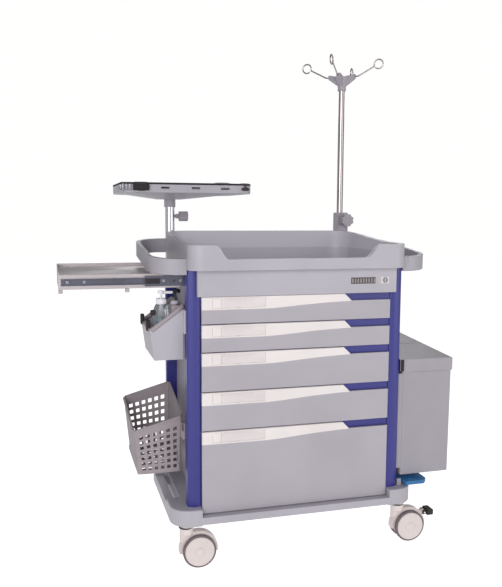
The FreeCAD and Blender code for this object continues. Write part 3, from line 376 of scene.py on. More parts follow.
MATERIALS = {
    "abs_grey": moulded_plastic("abs_grey", ABS, 0.40),
    "drawer_grey": moulded_plastic("drawer_grey", DRAWER, 0.38),
    "column_blue": powder_coat("column_blue", BLUE),
    "panel_grey": powder_coat("panel_grey", colour(161, 155, 162), 0.5),
    "warm_white": moulded_plastic("warm_white", WHITE, 0.36, wear=0.0, grain=0.06),
    "tub_grey": powder_coat("tub_grey", colour(176, 176, 182), 0.45),
    "zinc": brushed_metal("zinc", colour(158, 158, 164), "x", 0.38),
    "stainless": brushed_metal("stainless", colour(196, 188, 190), "x", 0.40, dents=0.05),
    "chrome": chrome("chrome", colour(226, 224, 228)),
    "knob_grey": moulded_plastic("knob_grey", colour(166, 160, 168), 0.5, grain=0.2),
    "bin_grey": moulded_plastic("bin_grey", colour(165, 160, 167), 0.42),
    "pedal_blue": moulded_plastic("pedal_blue", colour(46, 112, 166), 0.4, grain=0.2),
    "pump_white": moulded_plastic("pump_white", colour(238, 234, 240), 0.3, wear=0.0),
    "caster_cream": moulded_plastic("caster_cream", CREAM, 0.34, grain=0.05),
    "brake_dark": rubber("brake_dark", colour(44, 39, 38), 0.55),
}
RUBBER_BLACK = rubber("rubber_black", colour(46, 40, 44))
WEBBING_BLACK = webbing("webbing_black", colour(52, 46, 52))
FOAM_PALE = foam("foam_pale", colour(188, 184, 182))
BASKET_GREY = moulded_plastic("basket_grey", colour(160, 150, 154), 0.55, grain=0.2)
BOTTLE_CLEAR = clear_plastic("bottle_clear", colour(236, 244, 248))
LIQUID = clear_plastic("liquid", colour(176, 222, 232), 0.02, 0.7)
LABEL = moulded_plastic("label", colour(226, 216, 216), 0.22, wear=0.0, grain=0.02, coat=0.5)
FEET = rubber("feet_pale", colour(176, 170, 168))
SHADOW_SEAL = rubber("shadow_seal", colour(70, 66, 70))
RIB = moulded_plastic("rib", colour(150, 142, 140), 0.4, grain=0.05)
RAIL_DARK = brushed_metal("rail_dark", RAIL, "x", 0.26)
POLE = chrome("pole_steel", colour(176, 168, 166))
LOCK_METAL = brushed_metal("lock_metal", colour(150, 146, 150), "x", 0.44)
HANDLE = moulded_plastic("handle_grey", colour(171, 167, 174), 0.42)
WORKTOP = worktop_wear_and_painted_light()


# ------------------------------------------------------------------ mesh helpers
def piece(name, bm, material, body, smooth=True, replaces=()):
    """Turns a bmesh into a piece of the object that rides on a body."""
    bmesh.ops.remove_doubles(bm, verts=bm.verts, dist=1e-6)
    bmesh.ops.recalc_face_normals(bm, faces=bm.faces)
    mesh = bpy.data.meshes.new(name)
    bm.to_mesh(mesh)
    bm.free()
    for polygon in mesh.polygons:
        polygon.use_smooth = smooth
    mesh.materials.append(material)
    obj = bpy.data.objects.new(name, mesh)
    bpy.context.scene.collection.objects.link(obj)
    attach(obj, body)
    if replaces:
        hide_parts(*replaces)
    return obj


def soften(obj, width, segments=2, angle=35, weld=True):
    """Rounds the sharp edges of a piece or of a CAD node."""
    if weld:
        obj.modifiers.new("weld", "WELD").merge_threshold = 1e-6
    bevel = obj.modifiers.new("bevel", "BEVEL")
    bevel.width = width
    bevel.segments = segments
    bevel.limit_method = "ANGLE"
    bevel.angle_limit = math.radians(angle)
    normals = obj.modifiers.new("normals", "WEIGHTED_NORMAL")
    normals.keep_sharp = True


def rounded_block(bm, low, high, radius, segments=3):
    """Box with all its edges rounded, added to a bmesh."""
    size = high - low
    matrix = Matrix.Translation((low + high) / 2) @ Matrix.Diagonal((size.x, size.y, size.z, 1))
    made = bmesh.ops.create_cube(bm, size=1.0, matrix=matrix)
    edges = {edge for vert in made["verts"] for edge in vert.link_edges}
    bmesh.ops.bevel(bm, geom=list(edges), offset=radius, segments=segments, profile=0.5,
                    affect="EDGES")


def frame_axes(direction):
    """Two unit vectors square to a direction."""
    direction = direction.normalized()
    helper = Vector((0, 0, 1)) if abs(direction.z) < 0.9 else Vector((1, 0, 0))
    side = direction.cross(helper).normalized()
    return side, side.cross(direction).normalized()


def sweep(bm, path, section, closed=False, up=None):
    """Carries a closed section, a list of (side, up) offsets, along a path."""
    rings = []
    count = len(path)
    for index, point in enumerate(path):
        before = path[index - 1] if closed or index else path[0]
        after = path[(index + 1) % count] if closed or index < count - 1 else path[-1]
        direction = (after - before).normalized()
        if up is None:
            side, high = frame_axes(direction)
        else:
            side = direction.cross(up).normalized()
            high = side.cross(direction).normalized()
        rings.append([bm.verts.new(point + side * a + high * b) for a, b in section])
    total = len(section)
    spans = count if closed else count - 1
    for index in range(spans):
        first = rings[index]
        second = rings[(index + 1) % count]
        for k in range(total):
            bm.faces.new((first[k], first[(k + 1) % total],
                          second[(k + 1) % total], second[k]))
    if not closed:
        bm.faces.new(list(reversed(rings[0])))
        bm.faces.new(rings[-1])


def circle_section(radius, count=12):
    turns = [2 * math.pi * k / count for k in range(count)]
    return [(radius * math.cos(a), radius * math.sin(a)) for a in turns]


def strap_section(width, thick):
    """Flat strap with rounded selvedges."""
    half = width / 2
    edge = thick / 2
    return [(-half + edge, -edge), (half - edge, -edge), (half, 0),
            (half - edge, edge), (-half + edge, edge), (-half, 0)]


def lathe(bm, centre, axis, profile, count=40):
    """Solid of revolution from (radius, height) points along an axis."""
    side, high = frame_axes(axis)
    axis = axis.normalized()
    rings = []
    for radius, height in profile:
        ring = []
        for k in range(count):
            a = 2 * math.pi * k / count
            ring.append(bm.verts.new(centre + axis * height
                                     + (side * math.cos(a) + high * math.sin(a)) * radius))
        rings.append(ring)
    for first, second in zip(rings, rings[1:]):
        for k in range(count):
            n = (k + 1) % count
            bm.faces.new((first[k], first[n], second[n], second[k]))
    bm.faces.new(list(reversed(rings[0])))
    bm.faces.new(rings[-1])


def arc_points(centre, start, end, u, v, radius, steps):
    """Points of an arc in the plane of two unit vectors, angles in degrees."""
    points = []
    for k in range(steps + 1):
        a = math.radians(start + (end - start) * k / steps)
        points.append(centre + (u * math.cos(a) + v * math.sin(a)) * radius)
    return points


def pillow(bm, low, high, count=16):
    """Crowned pad: thick in the middle, its sides pulled in between the corners."""
    size = high - low
    middle = low.z + size.z * 0.4
    sheets = []
    for way, reach in ((1, size.z * 0.6), (-1, size.z * 0.4)):
        sheet = []
        for i in range(count + 1):
            u = 2 * i / count - 1
            row = []
            for j in range(count + 1):
                v = 2 * j / count - 1
                full = max(0.0, (1 - abs(u) ** 5) * (1 - abs(v) ** 5)) ** 0.42
                pull_u = 1 - 0.045 * (1 - v * v)
                pull_v = 1 - 0.045 * (1 - u * u)
                row.append(bm.verts.new((low.x + size.x * (1 + u * pull_u) / 2,
                                         low.y + size.y * (1 + v * pull_v) / 2,
                                         middle + way * reach * full)))
            sheet.append(row)
        sheets.append(sheet)
    for sheet in sheets:
        for i in range(count):
            for j in range(count):
                bm.faces.new((sheet[i][j], sheet[i + 1][j], sheet[i + 1][j + 1],
                              sheet[i][j + 1]))


# ------------------------------------------------------------------ CAD nodes: finish and edges
EDGE_WIDTHS = {
    "base_frame": 2.0, "worktop_tray": 1.6, "front_fascia": 0.8, "side_handles": 2.2,
    "corner_columns": 0.8, "crossbars": 0.8, "cabinet_panels": 0.5, "platform_deck": 1.2,
    "iv_clamp": 0.8, "iv_hook_head": 1.2, "waste_bins": 1.0, "bin_lids": 1.6,
    "bin_pedal": 1.8, "utility_box": 1.6, "table_top": 0.5, "platform_knob": 1.2,
    "iv_knob": 1.4, "platform_post": 0.6, "dispenser_pump": 0.8,
}
NODE_FINISHES = {
    "worktop_tray": WORKTOP, "side_handles": HANDLE, "lock_cylinder": LOCK_METAL,
    "iv_pole": POLE, "iv_hooks": POLE, "table_rails_fixed": RAIL_DARK,
    "table_rails_middle": RAIL_DARK, "table_rails_inner": RAIL_DARK,
}
TREAD = colour(112, 102, 105)


def finish_cad_nodes():
    """Gives every shown CAD node its own or its slot's material, and rounded edges."""
    slots = {row["node"]: row["material_slot"] for row in frame["record"]["subparts"]}
    widths = dict(EDGE_WIDTHS)
    for number in DRAWERS:
        widths["drawer_%d_front" % number] = 0.7
        widths["drawer_%d_grip" % number] = 0.6
        widths["drawer_%d_tub" % number] = 0.4
    for name in CASTERS:
        widths["caster_" + name] = 2.2
    for node, obj in NODES.items():
        slot = slots[node]
        if slot == "wheel_tread":
            material = wheel_finish("finish_" + node, node, CREAM, TREAD)
        elif node in NODE_FINISHES:
            material = NODE_FINISHES[node]
        elif slot in MATERIALS:
            material = MATERIALS[slot]
        else:
            continue
        obj.data.materials.clear()
        obj.data.materials.append(material)
        if node in widths:
            soften(obj, widths[node] * MM)


# ------------------------------------------------------------------ fascia and drawers
PLATE_RIBS = 9


def fascia_details():
    """Ribbed blank plate on a dark bed, painted shadow around and between the ribs, and the pale
    surround of the lock.
    """
    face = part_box("front_fascia")[0].y

    def plate(bm, start, end, out, sunk, radius):
        """Block between two (x, z) points of the fascia, from out before it to sunk in it."""
        low, high = at(start[0], 0, start[1]), at(end[0], 0, end[1])
        low.y, high.y = face - out, face + sunk
        rounded_block(bm, low, high, radius)

    bm = bmesh.new()
    plate(bm, (161, 840), (241, 859), 0.0012, 0.001, 0.0006)
    # The dark bed is painted shadow, seen around and between the ribs.
    piece("plate_bed", bm, SHADOW_SEAL, "root")
    bm = bmesh.new()
    for k in range(PLATE_RIBS):
        x = 165.5 + k * 8.9
        plate(bm, (x - 2.8, 842.5), (x + 2.8, 856.5), 0.003, -0.0008, 0.0008)
    piece("plate_ribs", bm, RIB, "root")
    bm = bmesh.new()
    plate(bm, (259.5, 839.5), (286.5, 860.5), 0.0019, 0.001, 0.0016)
    piece("lock_surround", bm, LABEL, "root")


def drawer_details():
    """Label, its end piece and a thumb tab in each grip's recess."""
    for number in DRAWERS:
        low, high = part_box("drawer_%d_grip" % number)
        body = "drawer_%d" % number
        top = high.z
        floor = low.y + 0.0016
        for name, start, end, material in (
                ("label", -240.5, -106.8, LABEL),
                ("label_end", -267.2, -241.5, MATERIALS["warm_white"])):
            bm = bmesh.new()
            rounded_block(bm, Vector((at(start, 0, 0).x, floor - 0.0013, top - 0.0334)),
                          Vector((at(end, 0, 0).x, floor - 0.0001, top - 0.0046)), 0.0004, 2)
            piece("%s_%s" % (body, name), bm, material, body)
        bm = bmesh.new()
        rounded_block(bm, Vector((at(-196, 0, 0).x, low.y - 0.0006, top - 0.0362)),
                      Vector((at(-184, 0, 0).x, low.y + 0.001, top - 0.0320)), 0.0012)
        piece(body + "_thumb_tab", bm, LABEL, body)


# ------------------------------------------------------------------ basket
BASKET_FLOOR_Z = 272.0
BASKET_LOFT_Z = 520.0


def basket_corner(side_x, side_y, z):
    """Outer corner of the tapered basket at a height; sides are 0 or 1."""
    t = (z - BASKET_FLOOR_Z) / (BASKET_LOFT_Z - BASKET_FLOOR_Z)
    xs = (-478 - 25 * t, -350 + 5 * t)
    ys = (73 - 8 * t, 317 + 8 * t)
    return xs[side_x], ys[side_y]


def basket_rim_z(x, y):
    return 400 + 0.28 * (x + 503) + 0.18 * (y - 65)


def basket_point(start, end, u, v):
    """Point on the wall between two corners: u along it, v from floor to rim."""
    z = BASKET_FLOOR_Z
    for _ in range(3):
        x0, y0 = basket_corner(start[0], start[1], z)
        x1, y1 = basket_corner(end[0], end[1], z)
        x = x0 + (x1 - x0) * u
        y = y0 + (y1 - y0) * u
        z = BASKET_FLOOR_Z + (basket_rim_z(x, y) - BASKET_FLOOR_Z) * v
    return at(x, y, z)


def cuts(count, low, high, bar_share):
    """Grid lines across a wall: two margins, and holes with bars between them."""
    if count == 0:
        return [0.0, 0.5, 1.0]
    pitch = (1 - low - high) / (count - bar_share)
    lines = [0.0]
    for k in range(count):
        start = low + k * pitch
        lines.extend([start, start + pitch * (1 - bar_share)])
    lines.append(1.0)
    return lines


def lattice(bm, point, columns, rows):
    """Sheet with rectangular holes; point(u, v) gives its surface."""
    grid = [[bm.verts.new(point(u, v)) for v in rows] for u in columns]
    for i in range(len(columns) - 1):
        for j in range(len(rows) - 1):
            hole = i % 2 == 1 and j % 2 == 1 and len(columns) > 3
            if not hole:
                bm.faces.new((grid[i][j], grid[i + 1][j], grid[i + 1][j + 1], grid[i][j + 1]))


def side_basket():
    """Perforated moulded basket with a folded rim."""
    corners = [(0, 0), (1, 0), (1, 1), (0, 1)]
    counts = (6, 10, 6, 0)
    bm = bmesh.new()
    for k, start in enumerate(corners):
        end = corners[(k + 1) % 4]
        lattice(bm, lambda u, v, s=start, e=end: basket_point(s, e, u, v),
                cuts(counts[k], 0.10, 0.10, 0.44), cuts(7, 0.07, 0.17, 0.46))

    def floor_point(u, v):
        x0, y0 = basket_corner(0, 0, BASKET_FLOOR_Z)
        x1, y1 = basket_corner(1, 1, BASKET_FLOOR_Z)
        return at(x0 + (x1 - x0) * u, y0 + (y1 - y0) * v, BASKET_FLOOR_Z)

    lattice(bm, floor_point, cuts(5, 0.1, 0.1, 0.4), cuts(9, 0.07, 0.07, 0.4))
    bmesh.ops.remove_doubles(bm, verts=bm.verts, dist=2e-5)
    upright = [e for e in bm.edges if len(e.link_faces) == 2
               and e.calc_face_angle(0) > 1.0]
    bmesh.ops.bevel(bm, geom=upright, offset=0.006, segments=3, profile=0.5, affect="EDGES")
    shell = piece("basket_shell", bm, BASKET_GREY, "root", smooth=False,
                  replaces=("side_basket",))
    skin = shell.modifiers.new("skin", "SOLIDIFY")
    skin.thickness = 0.0028
    skin.offset = -1
    soften(shell, 0.0006, 1, 50, weld=False)
    path = []
    for k, start in enumerate(corners):
        end = corners[(k + 1) % 4]
        for u in (0.04, 0.25, 0.5, 0.75, 0.96):
            path.append(basket_point(start, end, u, 1.0))
    bm = bmesh.new()
    section = [(-0.003, -0.004), (0.0032, -0.004), (0.0036, 0.0), (0.0030, 0.0018),
               (-0.0028, 0.0018), (-0.0034, 0.0)]
    sweep(bm, path, section, closed=True, up=Vector((-0.26, -0.17, 0.95)).normalized())
    piece("basket_rim", bm, BASKET_GREY, "root", smooth=False)
    bm = bmesh.new()
    for y in (40, 62):
        rounded_block(bm, at(-350, y, 378), at(-341.2, y + 14, 428), 0.0015)
    rounded_block(bm, at(-350, 40, 402), at(-345, 92, 428), 0.0015)
    piece("basket_hanger", bm, BASKET_GREY, "root")


# ------------------------------------------------------------------ dispenser and utility box
def dispenser():
    """Clear bottle with blue liquid and a ribbed collar."""
    low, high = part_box("dispenser_bottle")
    centre = Vector(((low.x + high.x) / 2, (low.y + high.y) / 2, low.z))
    up = Vector((0, 0, 1))
    wide = (high.x - low.x) / 2
    top = high.z - low.z
    bm = bmesh.new()
    lathe(bm, centre, up, [(wide - 0.005, 0.0), (wide - 0.0015, 0.0012), (wide, 0.004),
                           (wide, top - 0.034), (wide - 0.0008, top - 0.028),
                           (wide - 0.005, top - 0.020), (0.0135, top - 0.0135),
                           (0.0125, top - 0.010), (0.0125, top - 0.0025)], 48)
    piece("bottle_shell", bm, BOTTLE_CLEAR, "root", replaces=("dispenser_bottle",))
    bm = bmesh.new()
    lathe(bm, centre, up, [(wide - 0.006, 0.0018), (wide - 0.0025, 0.003),
                           (wide - 0.0014, 0.006), (wide - 0.0014, top - 0.056),
                           (wide - 0.0016, top - 0.0554)], 48)
    piece("bottle_liquid", bm, LIQUID, "root")
    bm = bmesh.new()
    profile = [(0.0148, top - 0.017), (0.0152, top - 0.016), (0.0152, top - 0.0015),
               (0.0142, top), (0.006, top)]
    lathe(bm, centre, up, profile, 48)
    for k in range(24):
        a = 2 * math.pi * k / 24
        offset = Vector((math.cos(a), math.sin(a), 0)) * 0.0152
        sweep(bm, [centre + offset + up * (top - 0.015), centre + offset + up * (top - 0.0025)],
              circle_section(0.0007, 6))
    piece("bottle_collar", bm, MATERIALS["pump_white"], "root")


def utility_details():
    """Rim bead, inner cup, cap, latches and the elastic strap of the utility box."""
    slope = (783 - 710) / 98.0
    front, rear = 41.5, 248.5
    outer, inner = -441.5, -346.5
    outline = [(outer, front), (inner, front), (inner, rear), (outer, rear)]
    path = []
    for k, (x0, y0) in enumerate(outline):
        x1, y1 = outline[(k + 1) % 4]
        for t in (0.03, 0.2, 0.4, 0.6, 0.8, 0.97):
            x = x0 + (x1 - x0) * t
            path.append(at(x, y0 + (y1 - y0) * t, 710.5 + (x + 443) * slope))
    bm = bmesh.new()
    section = [(-0.0042, -0.009), (0.0042, -0.009), (0.0052, -0.002), (0.0036, 0.003),
               (0.0, 0.0042), (-0.0036, 0.003), (-0.0052, -0.002)]
    sweep(bm, path, section, closed=True, up=Vector((-0.6, 0, 0.8)).normalized())
    piece("utility_rim", bm, BASKET_GREY, "root")
    bm = bmesh.new()
    rounded_block(bm, at(-377, 52, 684), at(-350, 110, 782), 0.005, 4)
    piece("sharps_cup", bm, BASKET_GREY, "root")
    bm = bmesh.new()
    lathe(bm, at(-364, 76, 781), Vector((0, 0, 1)),
          [(0.011, 0.0), (0.0125, 0.0015), (0.0125, 0.0105), (0.0112, 0.0125), (0.004, 0.0130)],
          36)
    piece("sharps_cap", bm, MATERIALS["abs_grey"], "root")
    bm = bmesh.new()
    for y in (62, 196):
        rounded_block(bm, at(-450, y, 706), at(-439, y + 24, 738), 0.0025)
    rounded_block(bm, at(-438, 58, 752), at(-424, 74, 768), 0.004)
    piece("utility_latches", bm, RUBBER_BLACK, "root")
    path = [at(-328, 186, 806), at(-336, 182, 811), at(-346, 166, 814), at(-354, 138, 812),
            at(-358, 108, 806), at(-359, 84, 798), at(-359, 65, 785), at(-356, 52, 767),
            at(-350, 46, 745), at(-345, 44, 728), at(-343.6, 44, 712)]
    bm = bmesh.new()
    sweep(bm, path, strap_section(0.013, 0.0022), up=Vector((0.25, -0.95, 0.2)))
    strap = piece("utility_strap", bm, WEBBING_BLACK, "root")
    strap.modifiers.new("round", "SUBSURF").levels = 2


# ------------------------------------------------------------------ platform
def platform_details():
    """Rubber mat and edge trim, hook-and-loop straps, buckle, clips and foam pad."""
    low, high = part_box("platform_deck")
    x0, x1, y0, y1 = low.x, high.x, low.y, high.y
    top = high.z
    floor = top - 0.023
    body = "platform"
    bm = bmesh.new()
    rounded_block(bm, Vector((x0 + 0.024, y0 + 0.012, floor)),
                  Vector((x1 - 0.024, y1 - 0.024, floor + 0.003)), 0.001)
    piece("platform_mat", bm, RUBBER_BLACK, body)
    bm = bmesh.new()
    inset, front, rear = 0.0025, 0.0235, 0.0575
    path = []
    corners = ((x1 - inset - front, y0 + inset + front, 270, front),
               (x1 - inset - rear, y1 - inset - rear, 0, rear),
               (x0 + inset + rear, y1 - inset - rear, 90, rear),
               (x0 + inset + front, y0 + inset + front, 180, front))
    right, back = Vector((1, 0, 0)), Vector((0, 1, 0))
    for x, y, start, radius in corners:
        path.extend(arc_points(Vector((x, y, top)), start, start + 90, right, back, radius, 8))
    section = [(-0.0034, -0.004), (0.0034, -0.004), (0.0034, 0.0008), (0.0018, 0.0022),
               (-0.0018, 0.0022), (-0.0034, 0.0008)]
    sweep(bm, path, section, closed=True, up=Vector((0, 0, 1)))
    piece("platform_trim", bm, RUBBER_BLACK, body)

    def across(name, x, rear_x, width, tail):
        """Strap over the front lip, slack across the deck, and over the back lip."""
        points = [(y0 - 0.0045, top - tail), (y0 - 0.0055, top - tail * 0.5),
                  (y0 - 0.005, top - 0.004), (y0 - 0.001, top + 0.0035),
                  (y0 + 0.008, top + 0.0025), (y0 + 0.03, top - 0.010)]
        for k in range(1, 8):
            t = k / 8
            sag = 0.0025 * math.sin(3 * math.pi * t)
            points.append((y0 + 0.03 + (y1 - y0 - 0.06) * t, floor + 0.0058 + abs(sag)))
        points.extend([(y1 - 0.03, top - 0.010), (y1 - 0.008, top + 0.0025),
                       (y1 + 0.001, top + 0.0035), (y1 + 0.0045, top - 0.006),
                       (y1 + 0.0045, top - 0.024)])
        path = []
        for y, z in points:
            t = min(1.0, max(0.0, (y - y0) / (y1 - y0)))
            path.append(Vector((x + (rear_x - x) * t, y, z)))
        mesh = bmesh.new()
        sweep(mesh, path, strap_section(width, 0.0024), up=Vector((0.0, 0.05, 1)))
        strap = piece(name, mesh, WEBBING_BLACK, body)
        strap.modifiers.new("round", "SUBSURF").levels = 2

    across("strap_left", x0 + 0.062, x0 + 0.084, 0.044, 0.026)
    across("strap_right", x1 - 0.024, x1 - 0.082, 0.030, 0.022)
    bm = bmesh.new()
    rounded_block(bm, Vector((x0 + 0.036, y0 - 0.0115, top - 0.0235)),
                  Vector((x0 + 0.088, y0 - 0.004, top - 0.0035)), 0.0022)
    rounded_block(bm, Vector((x0 + 0.043, y0 - 0.0135, top - 0.0195)),
                  Vector((x0 + 0.081, y0 - 0.010, top - 0.0085)), 0.0014)
    piece("strap_buckle", bm, RUBBER_BLACK, body)
    bm = bmesh.new()
    for k in range(3):
        x = x0 + 0.002 + k * 0.011
        rounded_block(bm, Vector((x, y0 - 0.006, top - 0.024)),
                      Vector((x + 0.006, y0 - 0.001, top - 0.003)), 0.001)
    rounded_block(bm, Vector((x0 - 0.0045, y0 + 0.004, top - 0.021)),
                  Vector((x0 + 0.004, y0 + 0.04, top - 0.005)), 0.001)
    piece("strap_clip", bm, MATERIALS["zinc"], body)
    bm = bmesh.new()
    pillow(bm, Vector((x1 - 0.127, y0 + 0.012, floor + 0.0032)),
           Vector((x1 - 0.060, y0 + 0.084, top + 0.0065)))
    pad = piece("foam_pad", bm, FOAM_PALE, body)
    pad.modifiers.new("round", "SUBSURF").levels = 1


# ------------------------------------------------------------------ side table, hooks, bins
CABINET_DEPTH = 435
SLIDE_Z = 855
HOOK_RING_Z = 1582
HOOK_RING_OUT = 0.134
HOOK_RING_RADIUS = 0.016
HOOK_TURN = -38


def table_details():
    """Pale rubber sleeves on the table's feet."""
    low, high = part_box("table_top")
    bm = bmesh.new()
    for x in (-691, -505):
        for y in (59, 376):
            centre = at(x, y, 0)
            rounded_block(bm, Vector((centre.x - 0.0062, centre.y - 0.0052, low.z - 0.0012)),
                          Vector((centre.x + 0.0062, centre.y + 0.0052, low.z + 0.0092)), 0.0012)
    piece("table_feet", bm, FEET, "table")


def slide_details():
    """Bright rivets on the slides, and the dark ball cages at the middle members' ends."""
    rivets = {"table": bmesh.new(), "table_middle": bmesh.new()}
    cages = bmesh.new()

    def plates(bm, x0, x1, y0, y1, half, radius):
        """The same block on the front slide and, mirrored, on the rear one."""
        for low_y, high_y in ((y0, y1), (CABINET_DEPTH - y1, CABINET_DEPTH - y0)):
            rounded_block(bm, at(x0, low_y, SLIDE_Z - half), at(x1, high_y, SLIDE_Z + half),
                          radius)

    for x in (-672, -626):
        plates(rivets["table"], x - 4.2, x + 4.2, 48.9, 50.4, 4.2, 0.0006)
    for x in (-401, -351):
        plates(rivets["table_middle"], x - 4, x + 4, 44.1, 45.2, 4, 0.0005)
    plates(cages, -454, -412, 44.4, 45.2, 8, 0.0004)
    for body, bm in rivets.items():
        piece("slide_rivets_" + body, bm, MATERIALS["zinc"], body)
    piece("slide_cages", cages, RUBBER_BLACK, "table_middle")


def hook_details():
    """Curled tips that nearly close the hooks' rings."""
    bm = bmesh.new()
    low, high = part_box("iv_hooks")
    middle = (low + high) / 2
    middle.z = HOOK_RING_Z * MM
    up = Vector((0, 0, 1))
    for turn in range(4):
        angle = math.radians(90 * turn + HOOK_TURN)
        out = Vector((math.cos(angle), math.sin(angle), 0))
        path = arc_points(middle + out * HOOK_RING_OUT, -76, -134, out, up,
                          HOOK_RING_RADIUS, 10)
        sweep(bm, path, circle_section(0.0025), up=out.cross(up))
    piece("hook_tips", bm, POLE, "iv_head")


def bin_details():
    """Covers on the lids' hinge ears, and treads on the pedal."""
    bm = bmesh.new()
    for y, z in ((0.3, 556), (408.3, 581)):
        rounded_block(bm, at(341.4, y, z), at(354.6, y + 5.4, z + 37), 0.0012)
    piece("lid_hinges", bm, RUBBER_BLACK, "root")
    bm = bmesh.new()
    low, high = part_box("bin_pedal")
    for k in range(6):
        x = low.x + 0.030 + k * 0.0085
        rounded_block(bm, Vector((x, low.y + 0.010, high.z - 0.001)),
                      Vector((x + 0.004, high.y - 0.010, high.z + 0.0016)), 0.0008)
    piece("pedal_treads", bm, MATERIALS["pedal_blue"], "pedal")


# ------------------------------------------------------------------ casters
def caster_details():
    """Axle caps on the discs, and a dark ring above each hood, painted shadow in the gap under the
    base.
    """
    for name in CASTERS:
        low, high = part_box("wheels_" + name)
        centre = (low + high) / 2
        half = (high.y - low.y) / 2
        bm = bmesh.new()
        for way in (-1, 1):
            lathe(bm, centre, Vector((0, way, 0)),
                  [(0.0135, half - 0.0012), (0.0135, half + 0.0002),
                   (0.0118, half + 0.0014), (0.004, half + 0.0020)], 36)
        piece("axle_caps_" + name, bm, MATERIALS["caster_cream"], "wheel_pair_" + name)
        stem_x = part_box("caster_" + name)[0].x + 0.021
        stem = Vector((stem_x, centre.y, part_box("base_frame")[0].z - 0.0085))
        bm = bmesh.new()
        lathe(bm, stem, Vector((0, 0, 1)),
              [(0.0212, 0.0), (0.0222, 0.0012), (0.0222, 0.0036), (0.0212, 0.0048)], 40)
        # The dark ring is painted shadow where the hood meets the base.
        piece("swivel_shadow_ring_" + name, bm, SHADOW_SEAL, "swivel_" + name)


# ------------------------------------------------------------------ stage
CAMERA_PLACE = (-718.4, -2077.4, 1051.7)
CAMERA_TURN = -15.94
CAMERA_TILT = -6.44
CAMERA_ROLL = 0.32
CAMERA_LENS = 45.1
CAMERA_SHIFT = (-0.0140, 0.0047)


def camera():
    """Camera at the reference viewpoint."""
    turn = math.radians(CAMERA_TURN)
    tilt = math.radians(CAMERA_TILT)
    roll = math.radians(CAMERA_ROLL)
    forward = Vector((-math.sin(turn) * math.cos(tilt), math.cos(turn) * math.cos(tilt),
                      math.sin(tilt)))
    right = Vector((math.cos(turn), math.sin(turn), 0))
    up = right.cross(forward)
    right_rolled = right * math.cos(roll) + up * math.sin(roll)
    up_rolled = up * math.cos(roll) - right * math.sin(roll)
    data = bpy.data.cameras.new("camera")
    data.sensor_width = 36
    data.lens = CAMERA_LENS
    data.shift_x, data.shift_y = CAMERA_SHIFT
    data.clip_end = 60
    obj = bpy.data.objects.new("camera", data)
    rotation = Matrix((right_rolled, up_rolled, -forward)).transposed()
    obj.matrix_world = Matrix.Translation(at(*CAMERA_PLACE)) @ rotation.to_4x4()
    bpy.context.scene.collection.objects.link(obj)
    bpy.context.scene.camera = obj


def area_light(name, place, target, size, power):
    data = bpy.data.lights.new(name, "AREA")
    data.shape = "RECTANGLE"
    data.size = size[0]
    data.size_y = size[1]
    data.energy = power
    obj = bpy.data.objects.new(name, data)
    direction = target - place
    obj.matrix_world = (Matrix.Translation(place)
                        @ direction.to_track_quat("-Z", "Y").to_matrix().to_4x4())
    bpy.context.scene.collection.objects.link(obj)


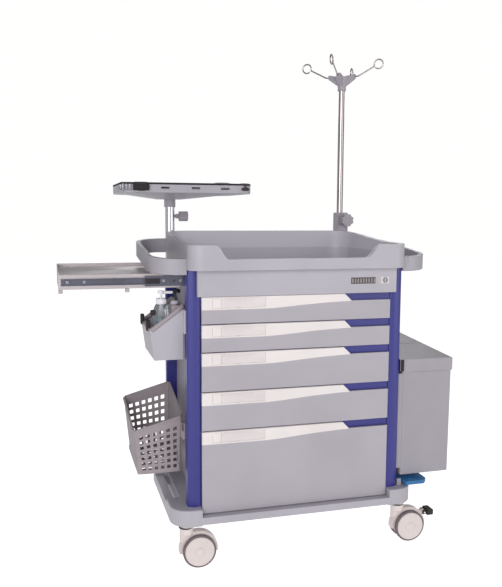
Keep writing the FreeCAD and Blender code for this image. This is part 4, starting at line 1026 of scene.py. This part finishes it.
def floor():
    """Pale studio floor that fades into the white backdrop."""
    bm = bmesh.new()
    bmesh.ops.create_grid(bm, x_segments=4, y_segments=4, size=14.0)
    mesh = bpy.data.meshes.new("floor")
    bm.to_mesh(mesh)
    bm.free()
    obj = bpy.data.objects.new("floor", mesh)
    bpy.context.scene.collection.objects.link(obj)
    material = bpy.data.materials.new("floor_white")
    material.use_nodes = True
    tree = material.node_tree
    tree.nodes.clear()
    out = tree.nodes.new("ShaderNodeOutputMaterial")
    diffuse = tree.nodes.new("ShaderNodeBsdfDiffuse")
    diffuse.inputs["Color"].default_value = (0.62, 0.62, 0.63, 1)
    glow = tree.nodes.new("ShaderNodeEmission")
    path = tree.nodes.new("ShaderNodeLightPath")
    share = tree.nodes.new("ShaderNodeMapRange")
    share.inputs["To Min"].default_value = 0.48
    share.inputs["To Max"].default_value = 0.90
    tree.links.new(path.outputs["Is Camera Ray"], share.inputs["Value"])
    tree.links.new(share.outputs["Result"], glow.inputs["Strength"])
    total = tree.nodes.new("ShaderNodeAddShader")
    tree.links.new(diffuse.outputs[0], total.inputs[0])
    tree.links.new(glow.outputs[0], total.inputs[1])
    tree.links.new(total.outputs[0], out.inputs["Surface"])
    mesh.materials.append(material)


def world():
    """White backdrop for the camera; a softer sky, dimmer overhead, as light."""
    made = bpy.data.worlds.new("studio")
    bpy.context.scene.world = made
    made.use_nodes = True
    tree = made.node_tree
    tree.nodes.clear()
    out = tree.nodes.new("ShaderNodeOutputWorld")
    coords = tree.nodes.new("ShaderNodeTexCoord")
    split = tree.nodes.new("ShaderNodeSeparateXYZ")
    tree.links.new(coords.outputs["Generated"], split.inputs[0])
    ramp = tree.nodes.new("ShaderNodeValToRGB")
    ramp.color_ramp.elements[0].position = 0.0
    ramp.color_ramp.elements[0].color = (0.86, 0.86, 0.88, 1)
    ramp.color_ramp.elements[1].position = 0.98
    ramp.color_ramp.elements[1].color = (0.26, 0.26, 0.28, 1)
    tree.links.new(split.outputs["Z"], ramp.inputs[0])
    light = tree.nodes.new("ShaderNodeBackground")
    light.inputs["Strength"].default_value = 0.55
    tree.links.new(ramp.outputs[0], light.inputs["Color"])
    seen = tree.nodes.new("ShaderNodeBackground")
    seen.inputs["Color"].default_value = (1.0, 1.0, 0.995, 1)
    seen.inputs["Strength"].default_value = 1.0
    path = tree.nodes.new("ShaderNodeLightPath")
    mix = tree.nodes.new("ShaderNodeMixShader")
    tree.links.new(path.outputs["Is Camera Ray"], mix.inputs[0])
    tree.links.new(light.outputs[0], mix.inputs[1])
    tree.links.new(seen.outputs[0], mix.inputs[2])
    tree.links.new(mix.outputs[0], out.inputs["Surface"])


def lights():
    """Broad key beside the camera, a fill from the right and a rim light high at the back."""
    target = at(0, 200, 620)
    area_light("key", at(-2100, -3300, 1900), target, (2.6, 2.2), 74)
    area_light("fill", at(2300, -2600, 1300), target, (2.2, 2.2), 24)
    area_light("back", at(900, 3000, 2300), target, (2.4, 1.2), 22)


finish_cad_nodes()
fascia_details()
drawer_details()
side_basket()
dispenser()
utility_details()
platform_details()
table_details()
slide_details()
hook_details()
bin_details()
caster_details()
floor()
world()
lights()
camera()
bpy.context.scene.view_settings.view_transform = "Standard"
